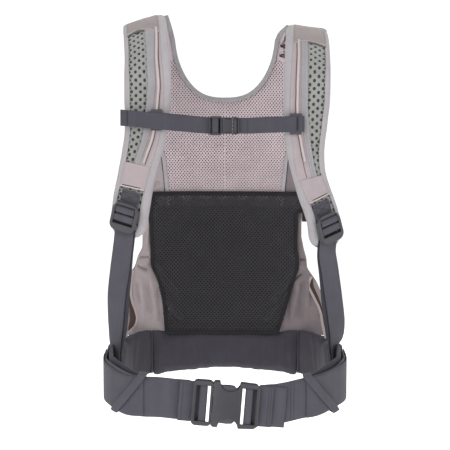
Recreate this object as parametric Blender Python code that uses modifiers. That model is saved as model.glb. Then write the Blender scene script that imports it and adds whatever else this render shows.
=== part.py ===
"""Soft baby carrier: body panel, padded shoulder straps, chest strap and padded waist belt.

Metres, +Z up. The wearer's body is on the -Y side of the panel. The origin is the
centre of the flat inner face of the padded waist belt.
"""

import math

import bmesh
import bpy
from mathutils import Matrix, Vector

# ---------------------------------------------------------------- driving dimensions
MM = 0.001
GAP = 0.3 * MM                  # clearance between pieces that lie on each other

# padded waist belt and waist webbing
PAD_TOP = 27 * MM
PAD_LOW_CENTER = -30 * MM
PAD_LOW_SIDE = -36 * MM
PAD_THICK = 12 * MM
PAD_WING_THICK = 10 * MM
PAD_SEAM_X = 95 * MM
WAIST_WEB = 50 * MM
WAIST_WEB_THICK = 1.5 * MM
LOOP_HALF_WIDTH = 147 * MM
CORNER_RADIUS = 52 * MM
FRONT_Y = -199 * MM             # middle plane of the waist buckle
WAIST_BUCKLE_Z = -24.5 * MM
WAIST_BUCKLE_TILT = math.radians(4.5)
WAIST_WEB_BEHIND = 7.2 * MM     # webbing behind the buckle's middle plane

# body panel
PANEL_BOTTOM = 28 * MM
PANEL_BULGE = 28 * MM
NECK_LOW = 330 * MM
PANEL_TOP = 405 * MM
LINING_THICK = 3 * MM
SHELL_THICK = 3 * MM
MESH_THICK = 1.4 * MM

# shoulder straps
STRAP_THICK = 12 * MM
STRAP_FACE = 7 * MM              # the fabric layers lie this high over the strap's middle surface
SKIN = 1.2 * MM                 # fabric layers sewn on the pad's face
SHOULDER_WEB = 25 * MM
RAIL_RADIUS = 1.6 * MM
RAIL_ACROSS = 13.5 * MM         # from the strap's middle line towards the wearer's middle
RAIL_HEIGHT = 10.5 * MM         # above the strap's middle surface
RAIL_TOP_Z = 350 * MM
RAIL_LOW_Z = 262 * MM
LOCK_WIDTH = 33 * MM
LOCK_THICK = 7 * MM
LOCK_HEIGHT = 14.3 * MM         # lock's middle plane above the strap's middle surface
LOCK_TOP = 9.6 * MM             # top arch above the bar that the lock tilts on
LOCK_LOW = -26.6 * MM           # lip below that bar
LOCK_LEAN = math.radians(5)     # the lock hangs a little further out than the strap

# chest strap
CHEST_Z = 305 * MM
CHEST_WEB = 20 * MM
CHEST_WEB_THICK = 1.1 * MM
CHEST_BUCKLE_HEIGHT = 15.6 * MM
CHEST_CLIP_FACE = 13.0 * MM
STRAP_SLOPE = 0.08              # run towards +Y for each metre up, on the straight stretch

COLLECTION = "soft_baby_carrier"


# ---------------------------------------------------------------- scene and materials
def clear_scene():
    """Removes whatever the file opened with."""
    for item in list(bpy.data.objects):
        bpy.data.objects.remove(item)


def make_collection(name):
    collection = bpy.data.collections.new(name)
    bpy.context.scene.collection.children.link(collection)
    return collection


clear_scene()
PARTS = make_collection(COLLECTION)
CUTTERS = make_collection("cutters")

FINISHES = {
    "webbing": ((0.108, 0.107, 0.130), 0.85),
    "belt_fabric": ((0.055, 0.051, 0.062), 0.9),
    "buckle_plastic": ((0.090, 0.086, 0.098), 0.45),
    "spacer_mesh": ((0.580, 0.480, 0.500), 0.9),
    "black_mesh": ((0.019, 0.018, 0.019), 0.8),
    "taupe_fabric": ((0.305, 0.262, 0.270), 0.9),
    "grey_binding": ((0.500, 0.495, 0.520), 0.85),
    "pad_mesh": ((0.340, 0.360, 0.330), 0.9),
    "pink_fabric": ((0.545, 0.465, 0.465), 0.9),
}


def make_material(name):
    color, roughness = FINISHES[name]
    material = bpy.data.materials.new(name)
    material.use_nodes = True
    shader = material.node_tree.nodes["Principled BSDF"]
    shader.inputs["Base Color"].default_value = (*color, 1.0)
    shader.inputs["Roughness"].default_value = roughness
    shader.inputs["Metallic"].default_value = 0.0
    return material


def add_object(name, mesh, finish, parent=None):
    """Links a finished mesh as one named sub-part with a material of its own."""
    item = bpy.data.objects.new(name, mesh)
    material = make_material(finish)
    material.name = f"{finish}_{name}"
    mesh.materials.clear()
    mesh.materials.append(material)
    PARTS.objects.link(item)
    item.parent = parent
    return item


def make_frame(name, place, rotation=(0, 0, 0), parent=None):
    """An empty that carries a group of pieces."""
    empty = bpy.data.objects.new(name, None)
    PARTS.objects.link(empty)
    empty.location = place
    empty.rotation_euler = rotation
    empty.parent = parent
    return empty


# ---------------------------------------------------------------- modelling helpers
def smooth_path(points, steps=8):
    """Points along a Catmull-Rom curve through the given points."""
    knots = [Vector(p) for p in points]
    knots = [knots[0] * 2 - knots[1]] + knots + [knots[-1] * 2 - knots[-2]]
    line = []
    for a, b, c, d in zip(knots, knots[1:], knots[2:], knots[3:]):
        for step in range(steps):
            t = step / steps
            line.append(0.5 * (2 * b + (c - a) * t + (2 * a - 5 * b + 4 * c - d) * t ** 2
                               + (3 * b - a - 3 * c + d) * t ** 3))
    line.append(knots[-2])
    return line


class Path:
    """A line that is read by its share of the whole length, from 0 to 1."""

    def __init__(self, points):
        self.points = [Vector(p) for p in points]
        self.reach = [0.0]
        for a, b in zip(self.points, self.points[1:]):
            self.reach.append(self.reach[-1] + (b - a).length)
        self.length = self.reach[-1]

    def at(self, share):
        goal = min(max(share, 0.0), 1.0) * self.length
        for i in range(1, len(self.points)):
            if self.reach[i] >= goal:
                part = (goal - self.reach[i - 1]) / (self.reach[i] - self.reach[i - 1])
                return self.points[i - 1].lerp(self.points[i], part)
        return self.points[-1].copy()

    def along(self, share):
        step = 0.004
        return (self.at(share + step) - self.at(share - step)).normalized()

    def share_where(self, test):
        """The first share of the length at which the test holds."""
        for i in range(1001):
            if test(self.at(i / 1000)):
                return i / 1000
        return 1.0


def sheet(name, place, columns, rows, thickness, finish, parent=None, closed=False):
    """A sheet of even thickness whose middle is place(u, v), with u and v from 0 to 1."""
    form = bmesh.new()
    bmesh.ops.create_grid(form, x_segments=columns, y_segments=rows, size=0.5)
    for vert in form.verts:
        vert.co = place(vert.co.x + 0.5, vert.co.y + 0.5)
    if closed:
        bmesh.ops.remove_doubles(form, verts=form.verts, dist=1e-5)
    mesh = bpy.data.meshes.new(name)
    form.to_mesh(mesh)
    form.free()
    item = add_object(name, mesh, finish, parent)
    solid = item.modifiers.new("thickness", "SOLIDIFY")
    solid.thickness = thickness
    solid.offset = 0.0
    solid.use_even_offset = True
    return item


def blend_table(table, value):
    """Reads a table of (value, result) pairs, with straight lines between them."""
    if value <= table[0][0]:
        return table[0][1]
    for (a, x), (b, y) in zip(table, table[1:]):
        if value <= b:
            return x + (y - x) * (value - a) / (b - a)
    return table[-1][1]


def arc(center, radius, start, end, steps):
    """Points on an arc, with angles in degrees from +X."""
    angles = [math.radians(start + (end - start) * i / steps) for i in range(steps + 1)]
    return [(center[0] + radius * math.cos(t), center[1] + radius * math.sin(t)) for t in angles]


def rounded_box(half_x, half_y, radius, steps=3, shift=(0, 0)):
    """The outline of a rectangle with round corners."""
    cx, cy = half_x - radius, half_y - radius
    outline = []
    for quarter, (sx, sy) in enumerate(((1, 1), (-1, 1), (-1, -1), (1, -1))):
        center = (shift[0] + sx * cx, shift[1] + sy * cy)
        outline += arc(center, radius, quarter * 90, quarter * 90 + 90, steps)
    return outline


def outline_mesh(name, outlines, thickness):
    """A plate from flat outlines, the later ones holes. It stands in XZ and is thick in Y."""
    curve = bpy.data.curves.new(name, "CURVE")
    curve.dimensions = "2D"
    curve.fill_mode = "BOTH"
    curve.extrude = thickness / 2
    for outline in outlines:
        spline = curve.splines.new("POLY")
        spline.points.add(len(outline) - 1)
        for point, (x, y) in zip(spline.points, outline):
            point.co = (x, y, 0, 1)
        spline.use_cyclic_u = True
    holder = bpy.data.objects.new(name, curve)
    PARTS.objects.link(holder)
    graph = bpy.context.evaluated_depsgraph_get()
    mesh = bpy.data.meshes.new_from_object(holder.evaluated_get(graph))
    bpy.data.objects.remove(holder)
    form = bmesh.new()
    form.from_mesh(mesh)
    bmesh.ops.remove_doubles(form, verts=form.verts, dist=1e-6)
    bmesh.ops.recalc_face_normals(form, faces=form.faces)
    form.to_mesh(mesh)
    form.free()
    mesh.transform(Matrix.Rotation(math.pi / 2, 4, "X"))
    return mesh


def box_mesh(name, low, high):
    form = bmesh.new()
    bmesh.ops.create_cube(form, size=1.0)
    size = Vector(high) - Vector(low)
    middle = (Vector(high) + Vector(low)) / 2
    for vert in form.verts:
        vert.co = Vector(a * b for a, b in zip(vert.co, size)) + middle
    mesh = bpy.data.meshes.new(name)
    form.to_mesh(mesh)
    form.free()
    return mesh


def cut(item, mesh, operation="DIFFERENCE"):
    """Takes the shape of a mesh, in the item's own coordinates, away from the item, or joins it on."""
    tool = bpy.data.objects.new(f"cut_{item.name}", mesh)
    CUTTERS.objects.link(tool)
    tool.parent = item.parent
    tool.hide_render = True
    tool.display_type = "WIRE"
    change = item.modifiers.new("cut", "BOOLEAN")
    change.operation = operation
    change.solver = "EXACT"
    change.object = tool


def cut_boxes(item, boxes):
    for low, high in boxes:
        cut(item, box_mesh("box", low, high))


def soften(item, width, segments=1):
    """Breaks the sharp edges of a plate."""
    bevel = item.modifiers.new("edges", "BEVEL")
    bevel.width = width
    bevel.segments = segments
    bevel.limit_method = "ANGLE"
    bevel.angle_limit = math.radians(50)


def ribbon(name, line, width, thickness, finish, parent=None, wide=(0, 0, 1)):
    """Webbing with a row at each point of a line, its width along one fixed direction."""
    across = Vector(wide)
    rows = len(line) - 1

    def place(u, v):
        return Vector(line[round(v * rows)]) + across * ((u - 0.5) * width)

    return sheet(name, place, 1, rows, thickness, finish, parent)


# ---------------------------------------------------------------- body panel
SHELL_EDGE = [
    (0.020, 0.1270), (0.036, 0.1270), (0.051, 0.1270), (0.070, 0.1262), (0.085, 0.1250),
    (0.105, 0.1180), (0.125, 0.1130), (0.160, 0.1080), (0.210, 0.1070), (0.300, 0.1160),
    (0.360, 0.1220), (0.420, 0.1280),
]
WING_EDGE = [
    (0.020, 0.1270), (0.036, 0.1180), (0.051, 0.1145), (0.070, 0.1205), (0.085, 0.1240),
    (0.105, 0.1180), (0.125, 0.1130), (0.160, 0.1080), (0.210, 0.1070), (0.300, 0.1160),
]
LINING_EDGE = [
    (0.020, 0.0760), (0.210, 0.0780), (0.260, 0.0830), (0.300, 0.1000), (0.340, 0.1120), (0.420, 0.1200),
]
BINDING = 5 * MM
NECK_HALF = 66.5 * MM           # half the neckline's width between the panel's top corners
WING_TOP = 252 * MM

# each layer's middle, measured along +Y from the lining's reference surface
SHELL_DEPTH = 7.5 * MM
LINING_DEPTH = 1.5 * MM
NECK_BINDING_DEPTH = -2.2 * MM
MESH_DEPTH = -2.6 * MM
LOOP_DEPTH = -4.2 * MM


def panel_depth(x, z):
    """Y of the panel's lining: it swells away from the wearer and leans in at the top and sides."""
    rise = min(max((z - PANEL_BOTTOM) / (NECK_LOW - PANEL_BOTTOM), 0.0), 1.0)
    swell = PANEL_BULGE * math.sin(math.pi * rise) ** 2 * (1 - (x / 0.16) ** 2)
    side = 0.035 * max(abs(x) / 0.125 - 0.68, 0.0) ** 1.5 * (1 - rise)
    lean = 0.012 * max((z - 0.36) / 0.06, 0.0) ** 2
    return 0.0045 + swell - side - lean


def neckline(x):
    """Height of the panel's top edge: a deep U between the two top corners."""
    reach = abs(x) / NECK_HALF
    if reach >= 1:
        return PANEL_TOP
    return NECK_LOW + (PANEL_TOP - NECK_LOW) * (1 - (1 - reach ** 2.6) ** 0.62)


def panel_sheet(name, edge_table, shrink, depth, thickness, finish, columns=20, rows=11):
    """One layer of the panel between its side edges, from the belt up to the neckline."""
    def place(u, v):
        side = 2 * u - 1
        side = math.copysign(abs(side) ** 0.85, side)
        guess = PANEL_BOTTOM + v * (PANEL_TOP - PANEL_BOTTOM)
        for _ in range(4):
            x = side * (blend_table(edge_table, guess) - shrink)
            top = neckline(x) - shrink
            guess = PANEL_BOTTOM + v * (top - PANEL_BOTTOM)
        return Vector((x, panel_depth(x, guess) + depth, guess))

    return sheet(name, place, columns, rows, thickness, finish)


def panel_strip(name, line, width, depth, thickness, finish, rows):
    """A band laid on the panel along a line of (x, z) points."""
    path = Path(smooth_path([(x, 0, z) for x, z in line], 4))

    def place(u, v):
        middle = path.at(v)
        along = path.along(v)
        across = Vector((along.z, 0, -along.x))
        spot = middle + across * ((u - 0.5) * width)
        return Vector((spot.x, panel_depth(spot.x, spot.z) + depth, spot.z))

    return sheet(name, place, 2, rows, thickness, finish)


def build_panel():
    panel_sheet("panel_shell", SHELL_EDGE, 0.0, SHELL_DEPTH, SHELL_THICK, "taupe_fabric")
    panel_sheet("panel_lining", LINING_EDGE, BINDING + 1.2 * MM, LINING_DEPTH, LINING_THICK, "spacer_mesh")

    # grey tape round the neckline
    half = []
    for i in range(13):
        x = NECK_HALF * math.sin(math.pi / 2 * i / 12)
        half.append((x, neckline(x) - BINDING / 2))
    half = half[:-1] + [(0.0690, PANEL_TOP - 0.012), (0.0700, PANEL_TOP - 0.004)]
    line = [(-x, z) for x, z in reversed(half[1:])] + half
    path = Path([(x, 0, z) for x, z in line])

    def neck_place(u, v):
        along = path.along(v)
        spot = path.at(v) + Vector((-along.z, 0, along.x)) * ((u - 0.5) * BINDING)
        spot.z = min(spot.z, PANEL_TOP)
        return Vector((spot.x, panel_depth(spot.x, spot.z) + NECK_BINDING_DEPTH, spot.z))

    sheet("neckline_binding", neck_place, 1, 30, 0.9 * MM, "grey_binding")

    for side, label in ((-1, "left"), (1, "right")):
        # grey tape down the lining's lower side edge
        edge = [(side * (blend_table(LINING_EDGE, z) - BINDING / 2), z)
                for z in (0.030, 0.080, 0.140, 0.205, 0.245, 0.268)]
        width = BINDING - GAP
        panel_strip(f"lining_binding_{label}", edge, width, LINING_DEPTH, 2.6 * MM, "grey_binding", 12)

        # taupe side wing between that tape and the leg opening
        def wing_place(u, v, side=side):
            z = 0.030 + v * (WING_TOP - 0.030)
            low = blend_table(LINING_EDGE, z) + 1.4 * MM
            high = blend_table(WING_EDGE, z) - 0.0055
            x = side * (low + (high - low) * u)
            return Vector((x, panel_depth(x, z) + LINING_DEPTH, z))

        sheet(f"side_wing_{label}", wing_place, 3, 12, LINING_THICK, "taupe_fabric")

        # pale tape round the leg opening
        edge = [(side * (blend_table(WING_EDGE, z) - 0.0010), z)
                for z in (0.030, 0.043, 0.056, 0.070, 0.086, 0.103, 0.125)]
        panel_strip(f"leg_binding_{label}", edge, 4 * MM, LINING_DEPTH, 2.6 * MM, "pink_fabric", 12)


MESH_EDGE_LEFT = [
    (0.026, 0.0785), (0.065, 0.0820), (0.093, 0.0890), (0.111, 0.0965), (0.160, 0.0985), (0.176, 0.1000),
    (0.206, 0.0955),
]
MESH_EDGE_RIGHT = [
    (0.023, 0.0700), (0.070, 0.0820), (0.093, 0.0890), (0.109, 0.0955), (0.160, 0.0985), (0.206, 0.0975),
]


def mesh_point(x, z):
    return Vector((x, panel_depth(x, z) + MESH_DEPTH, z))


def build_mesh_seat():
    """The see-through mesh seat over the lower half, its hem and its side tab."""
    low, hem_low, high = PANEL_BOTTOM, 0.2005, 0.2060

    def body(u, v):
        z = low + v * (hem_low - GAP - low)
        left = blend_table(MESH_EDGE_LEFT, z)
        right = blend_table(MESH_EDGE_RIGHT, z)
        return mesh_point(-left + (left + right) * u, z)

    def hem(u, v):
        z = hem_low + v * (high - hem_low)
        return mesh_point(-0.0955 + 0.193 * u, z)

    def tab(u, v):
        z = 0.169 + v * 0.033
        return mesh_point(0.1015 + 0.0055 * u, z)

    sheet("mesh_seat", body, 10, 10, MESH_THICK, "black_mesh")
    sheet("mesh_seat_hem", hem, 10, 1, MESH_THICK, "black_mesh")
    sheet("mesh_seat_tab", tab, 1, 3, MESH_THICK, "black_mesh")


# ---------------------------------------------------------------- padded waist belt
PAD_PLAN = [
    (0.000, 0.0060), (0.035, 0.0060), (0.070, 0.0060), (0.095, 0.0015), (0.115, -0.0120), (0.129, -0.0350),
    (0.1360, -0.0700),
]


def pad_line(side):
    """Middle line of the belt's pad in plan, from the middle to one end."""
    flat = [(side * x, y, 0) for x, y in PAD_PLAN[:3]]
    bend = smooth_path([(side * x, y, 0) for x, y in PAD_PLAN[2:]], 5)
    return Path(flat[:-1] + bend)


def build_belt_pad():
    left, right = pad_line(-1), pad_line(1)
    seam = right.share_where(lambda p: p.x > PAD_SEAM_X)

    def low_edge(x):
        return PAD_LOW_CENTER + (PAD_LOW_SIDE - PAD_LOW_CENTER) * min(abs(x) / 0.075, 1.0) ** 2

    stations = [-1.0, -0.87, -0.737, -0.42, 0.0, 0.42, 0.737, 0.87, 1.0]

    def center(u, v):
        spot = stations[round(u * 8)]
        path = left if spot < 0 else right
        middle = path.at(abs(spot) * (seam - 0.004))
        if abs(spot) < 0.74:
            middle = Vector((spot / 0.737 * 0.070, 0.006, 0))
        low = low_edge(middle.x)
        return Vector((middle.x, middle.y, low + (PAD_TOP - low) * v))

    sheet("belt_pad_center", center, 8, 2, PAD_THICK, "belt_fabric")
    for path, label in ((left, "left"), (right, "right")):
        def wing(u, v, path=path):
            share = seam + 0.008 + (1 - seam - 0.008) * u
            middle = path.at(share)
            top = PAD_TOP - 0.007 * u ** 2
            low = PAD_LOW_SIDE + 0.004 * u ** 2
            return Vector((middle.x, middle.y, low + (top - low) * v))

        sheet(f"belt_pad_{label}", wing, 7, 2, PAD_WING_THICK, "belt_fabric")


# ---------------------------------------------------------------- waist webbing
CORNER_X = LOOP_HALF_WIDTH - CORNER_RADIUS
WEB_Y = FRONT_Y + WAIST_WEB_BEHIND
CORNER_Y = WEB_Y + CORNER_RADIUS
WEB_SIDE_Z = -3.0 * MM


def belt_plan(side, front_end):
    """Middle line of the waist webbing: along the pad's outer face, round the side, to the front."""
    rear = [(0.078, 0.0140), (0.100, 0.0085), (0.1225, -0.0090), (0.1385, -0.0360), (0.1470, -0.0680),
            (LOOP_HALF_WIDTH, -0.100), (LOOP_HALF_WIDTH, CORNER_Y)]
    line = smooth_path([(side * x, y, 0) for x, y in rear], 4)
    for x, y in arc((CORNER_X, CORNER_Y), CORNER_RADIUS, 0, -90, 10)[1:]:
        line.append(Vector((side * x, y, 0)))
    line.append(Vector((side * (CORNER_X - 0.030), WEB_Y, 0)))
    line.append(Vector((side * front_end, WEB_Y, 0)))
    return line


def front_height(side, x):
    """Height of the webbing's middle: it sags towards the buckle."""
    if side < 0:
        return WAIST_BUCKLE_Z + abs(x) * math.tan(WAIST_BUCKLE_TILT)
    return blend_table([(0.040, -0.0277), (0.060, -0.0262), (0.100, -0.0185), (0.125, -0.0150)], abs(x))


def belt_point(side, spot, rise=0.0, out=0.0, normal=None):
    """Lifts a plan point to the webbing's height, moved up and outwards."""
    if spot.y > CORNER_Y:
        height = WEB_SIDE_Z
    else:
        around = min(max((CORNER_Y - spot.y) / CORNER_RADIUS, 0.0), 1.0)
        height = WEB_SIDE_Z + (front_height(side, spot.x) - WEB_SIDE_Z) * around ** 2
    moved = spot + (normal * out if normal else Vector((0, 0, 0)))
    return Vector((moved.x, moved.y, height + rise))


def outward(side, path, share):
    along = path.along(share)
    return Vector((-along.y, along.x, 0)) * side


def belt_band(name, side, start, end, out, width, finish, rows, front_end=0.042):
    """A strip that follows the waist webbing between two shares of its length."""
    path = Path(belt_plan(side, front_end))

    def place(u, v):
        share = start + (end - start) * v
        normal = outward(side, path, share)
        return belt_point(side, path.at(share), (u - 0.5) * width, out, normal)

    return sheet(name, place, 1, rows, WAIST_WEB_THICK, finish)


def corner_point(side, angle, rise, out):
    """A place on the round corner: the angle runs from the front (0) to the side (90 degrees)."""
    turn = math.radians(angle)
    radius = CORNER_RADIUS + out
    spot = Vector((side * (CORNER_X + radius * math.sin(turn)), CORNER_Y - radius * math.cos(turn), 0))
    if angle < 0:
        spot = Vector((side * (CORNER_X + CORNER_RADIUS * turn), WEB_Y - out, 0))
    base = belt_point(side, Vector((spot.x, min(spot.y, CORNER_Y), 0)))
    return Vector((spot.x, spot.y, base.z + rise))


def build_keeper(side, label, frame):
    """A loop of narrow webbing that holds the folded tail against the belt, slanting over it."""
    half = WAIST_WEB / 2 + 3.0 * MM
    inner, outer = -2.6 * MM, 4.2 * MM
    corners = rounded_box((outer - inner) / 2, half, 2.2 * MM, 2, ((outer + inner) / 2, 0))
    shape = []
    for (x1, z1), (x2, z2) in zip(corners, corners[1:] + corners[:1]):
        pieces = 6 if abs(z2 - z1) > half else 1
        shape += [(x1 + (x2 - x1) * i / pieces, z1 + (z2 - z1) * i / pieces) for i in range(pieces)]
    width_angle = 11.0

    def place(u, v):
        out, rise = shape[round(v * len(shape)) % len(shape)]
        lean = 25 - 21 * rise / half
        spot = corner_point(side, lean + (u - 0.5) * width_angle, rise, out)
        return spot - frame.location

    return sheet(f"keeper_{label}", place, 2, len(shape), 1.2 * MM, "webbing", frame, closed=True)


def build_waist_webbing():
    for side, label in ((-1, "left"), (1, "right")):
        belt_band(f"waist_tail_{label}", side, 0.44, 0.825, 2.1 * MM, WAIST_WEB, "webbing", 16)
        frame = make_frame(f"keeper_pivot_{label}", (side * CORNER_X, CORNER_Y, 0))
        build_keeper(side, label, frame)
        belt_band(f"waist_webbing_{label}", side, 0.0, 1.0, 0.0, WAIST_WEB, "webbing", 34)


# ---------------------------------------------------------------- side-release buckles
def frame_cuts(sign, rail_end, sizes):
    """Boxes that leave a rail, two slots and a recessed bar at one end of a buckle half.

    The rail_end is the outermost x; sizes are the rail, the slots, the bar and the depths.
    """
    rail, slot_out, bar, slot_in, window, wide, half, lip, core = sizes

    def box(near, far, rise, low_y, high_y):
        a, b = sorted((rail_end - sign * near, rail_end - sign * far))
        return ((a, low_y, -rise), (b, high_y, rise))

    a = rail
    b = rail + slot_out
    c = b + bar
    d = c + slot_in
    back = half + MM
    return [
        box(a, d, window, -back, -half + lip),
        box(a, d, wide, -half + lip - 0.05 * MM, -core),
        box(a, b, wide, -core - 0.05 * MM, back),
        box(c, d, wide, -core - 0.05 * MM, back),
        box(b - 0.05 * MM, c + 0.05 * MM, wide, core, back),
        box(-MM, a + 0.05 * MM, wide, -0.4 * MM, back),
    ]


WAIST_SIZES = [3.8 * MM, 6.5 * MM, 4.8 * MM, 6.1 * MM, 22 * MM, 25.5 * MM, 6 * MM, 1.1 * MM, 3 * MM]
CHEST_SIZES = [1.8 * MM, 2.9 * MM, 5.2 * MM, 3.9 * MM, 9.2 * MM, 10.3 * MM, 4 * MM, 0.8 * MM, 1.6 * MM]


def notched_outline(left, right, height, end_height, notch, corner):
    """The socket's outline with a round release notch in its top and bottom edges."""
    notch_x, notch_r, notch_rise = notch
    drop = math.degrees(math.asin(notch_rise / notch_r))
    top = [(left, height - corner), (left + corner, height)]
    top += arc((notch_x, height + notch_rise), notch_r, 180 + drop, 360 - drop, 8)
    top += [(right - 3 * corner, end_height), (right, end_height - 2 * corner)]
    return top + [(x, -y) for x, y in reversed(top)]


def latch_outline(root, tip, rise, radius, swell, tip_low, tip_high):
    """A latch arm: round at its root, swelling to a thumb pad and falling to its tip."""
    body = arc(root, radius, 270, 90, 6)
    length = tip - root[0]
    body += [(root[0] + length * 0.30, rise + swell * 0.75), (root[0] + length * 0.55, rise + swell),
             (root[0] + length * 0.78, rise + swell * 0.55), (tip - 0.4 * MM, tip_high), (tip, tip_low + MM),
             (tip - MM, tip_low)]
    body += [(root[0] + length * 0.55, root[1] - radius + 0.3 * MM)]
    return body


def build_buckle(prefix, frame, shape):
    """Socket, plug and the plug's two latch arms, in the buckle's own axes."""
    thick = shape["thick"]
    socket = add_object(f"{prefix}_socket", outline_mesh(
        "socket", [notched_outline(*shape["socket"])], thick), "buckle_plastic", frame)
    soften(socket, shape["edge"])
    low, high = shape["cavity"]
    cut_boxes(socket, [(low, high)] + frame_cuts(1, shape["socket"][1], shape["socket_frame"]))

    plug_frame = make_frame(f"{prefix}_plug_slide", (0, 0, 0), parent=frame)
    left, right, height = shape["plug"]
    corner = shape["corner"]
    plate = [(x + (left + right) / 2, y) for x, y in rounded_box((right - left) / 2, height, corner, 3)]
    plug = add_object(f"{prefix}_plug", outline_mesh("plug", [plate], thick), "buckle_plastic", plug_frame)
    soften(plug, shape["edge"])
    cut_boxes(plug, frame_cuts(-1, left, shape["plug_frame"]))
    tongue, reach = shape["tongue"]
    slim = shape["tongue_thick"]
    cut(plug, box_mesh("tongue", (right - MM, -slim, -tongue), (reach, slim, tongue)), "UNION")

    root_x, root_z = shape["root"]
    for sign, label in ((1, "upper"), (-1, "lower")):
        pivot = make_frame(f"{prefix}_latch_pivot_{label}", (root_x, 0, sign * root_z), parent=plug_frame)
        outline = latch_outline((0, 0), shape["tip"] - root_x, shape["rise"] - root_z, shape["root_radius"],
                                shape["swell"], shape["tip_low"] - root_z, shape["tip_high"] - root_z)
        outline = [(x, sign * z) for x, z in outline]
        add_object(f"{prefix}_latch_{label}", outline_mesh("latch", [outline], slim * 2),
                   "buckle_plastic", pivot)
    return plug_frame


WAIST_SHAPE = {
    "thick": 12 * MM, "edge": 0.9 * MM, "corner": 5 * MM,
    "socket": (-15 * MM, 41 * MM, 28 * MM, 27 * MM, (4.8 * MM, 12.5 * MM, 1.0 * MM), 1.6 * MM),
    "socket_frame": WAIST_SIZES,
    "cavity": ((-20 * MM, -3.7 * MM, -24.6 * MM), (17.5 * MM, 3.7 * MM, 24.6 * MM)),
    "plug": (-39.6 * MM, -15.3 * MM, 27.6 * MM), "plug_frame": WAIST_SIZES,
    "tongue": (7 * MM, 12 * MM), "tongue_thick": 3.2 * MM,
    "root": (-12.0 * MM, 19.5 * MM), "root_radius": 3.0 * MM, "rise": 22.0 * MM, "swell": 1.6 * MM,
    "tip": 16.0 * MM, "tip_low": 12.5 * MM, "tip_high": 16.8 * MM,
}
CHEST_SHAPE = {
    "thick": 8 * MM, "edge": 0.6 * MM, "corner": 2.5 * MM,
    "socket": (-3.0 * MM, 17.0 * MM, 10.6 * MM, 10.6 * MM, (3.6 * MM, 4.6 * MM, 0.8 * MM), 0.8 * MM),
    "socket_frame": [1.6 * MM, 2.0 * MM, 2.2 * MM, 2.0 * MM, 9.0 * MM, 9.9 * MM, 4 * MM, 0.8 * MM, 1.6 * MM],
    "cavity": ((-6 * MM, -2.6 * MM, -8.8 * MM), (8.4 * MM, 2.6 * MM, 8.8 * MM)),
    "plug": (-19.4 * MM, -3.5 * MM, 11.8 * MM), "plug_frame": CHEST_SIZES,
    "tongue": (2.2 * MM, 6.4 * MM), "tongue_thick": 2.1 * MM,
    "root": (-1.7 * MM, 6.4 * MM), "root_radius": 1.4 * MM, "rise": 7.4 * MM, "swell": 0.9 * MM,
    "tip": 7.4 * MM, "tip_low": 4.4 * MM, "tip_high": 6.2 * MM,
}


def build_waist_buckle():
    frame = make_frame("waist_buckle_frame", (0, FRONT_Y, WAIST_BUCKLE_Z), (0, WAIST_BUCKLE_TILT, 0))
    plug_frame = build_buckle("waist", frame, WAIST_SHAPE)
    loop = [(-56.0, 1.4), (-42.0, 1.3), (-37.0, 1.6), (-34.5, 2.2), (-32.0, 2.2), (-30.9, 1.2),
            (-30.6, -1.0), (-30.5, -3.1), (-29.4, -4.1), (-24.6, -4.0), (-23.2, -3.2), (-22.6, 0.0),
            (-23.2, 3.6), (-26.0, 4.4), (-34.0, 4.4), (-56.0, 4.4)]
    width = WAIST_WEB - 0.4 * MM
    ribbon("waist_plug_loop", [(x * MM, y * MM, 0) for x, y in loop], width, 1.3 * MM, "webbing", plug_frame)
    shift = WAIST_SHAPE["socket"][1] / MM + WAIST_SHAPE["plug"][0] / MM
    loop[-1] = (-72.0, 4.4)     # the socket's webbing is folded back further
    mirrored = [((shift - x) * MM, y * MM, 0) for x, y in loop]
    ribbon("waist_socket_loop", mirrored, width, 1.3 * MM, "webbing", frame)


# ---------------------------------------------------------------- shoulder straps
STRAP_LINES = {
    "left": [
        (0.1036, 0.0040, 0.4110), (0.1030, -0.0050, 0.4170), (0.1018, -0.0200, 0.4222),
        (0.1005, -0.0420, 0.4235), (0.0985, -0.0720, 0.4150), (0.0955, -0.1000, 0.3935),
        (0.0945, -0.1150, 0.3700), (0.0945, -0.1179, 0.3437), (0.0950, -0.1200, 0.3175),
        (0.0975, -0.1221, 0.2912), (0.1035, -0.1242, 0.2650), (0.1095, -0.1240, 0.2380),
        (0.1145, -0.1225, 0.2110), (0.1180, -0.1195, 0.1860), (0.1200, -0.1165, 0.1650),
    ],
    "right": [
        (0.1036, 0.0028, 0.4098), (0.1036, -0.0065, 0.4122), (0.1034, -0.0220, 0.4136),
        (0.1030, -0.0460, 0.4125), (0.1022, -0.0760, 0.4035), (0.1012, -0.1010, 0.3860),
        (0.1004, -0.1148, 0.3700), (0.1000, -0.1179, 0.3437), (0.0985, -0.1200, 0.3175),
        (0.0978, -0.1221, 0.2912), (0.0992, -0.1240, 0.2680), (0.1030, -0.1242, 0.2450),
        (0.1090, -0.1235, 0.2240), (0.1160, -0.1220, 0.2050), (0.1210, -0.1200, 0.1870),
        (0.1250, -0.1165, 0.1520),
    ],
}
# half widths by the distance from the pad's lower end
STRAP_HALVES = {
    "left": [(0, 0.0230), (0.050, 0.0235), (0.075, 0.0225), (0.100, 0.0232), (0.145, 0.0265),
             (0.170, 0.0280), (0.220, 0.0285), (0.300, 0.0270), (0.400, 0.0262)],
    "right": [(0, 0.0225), (0.062, 0.0215), (0.086, 0.0200), (0.098, 0.0200), (0.122, 0.0222),
              (0.152, 0.0262), (0.181, 0.0282), (0.230, 0.0282), (0.300, 0.0262), (0.400, 0.0255)],
}
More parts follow.
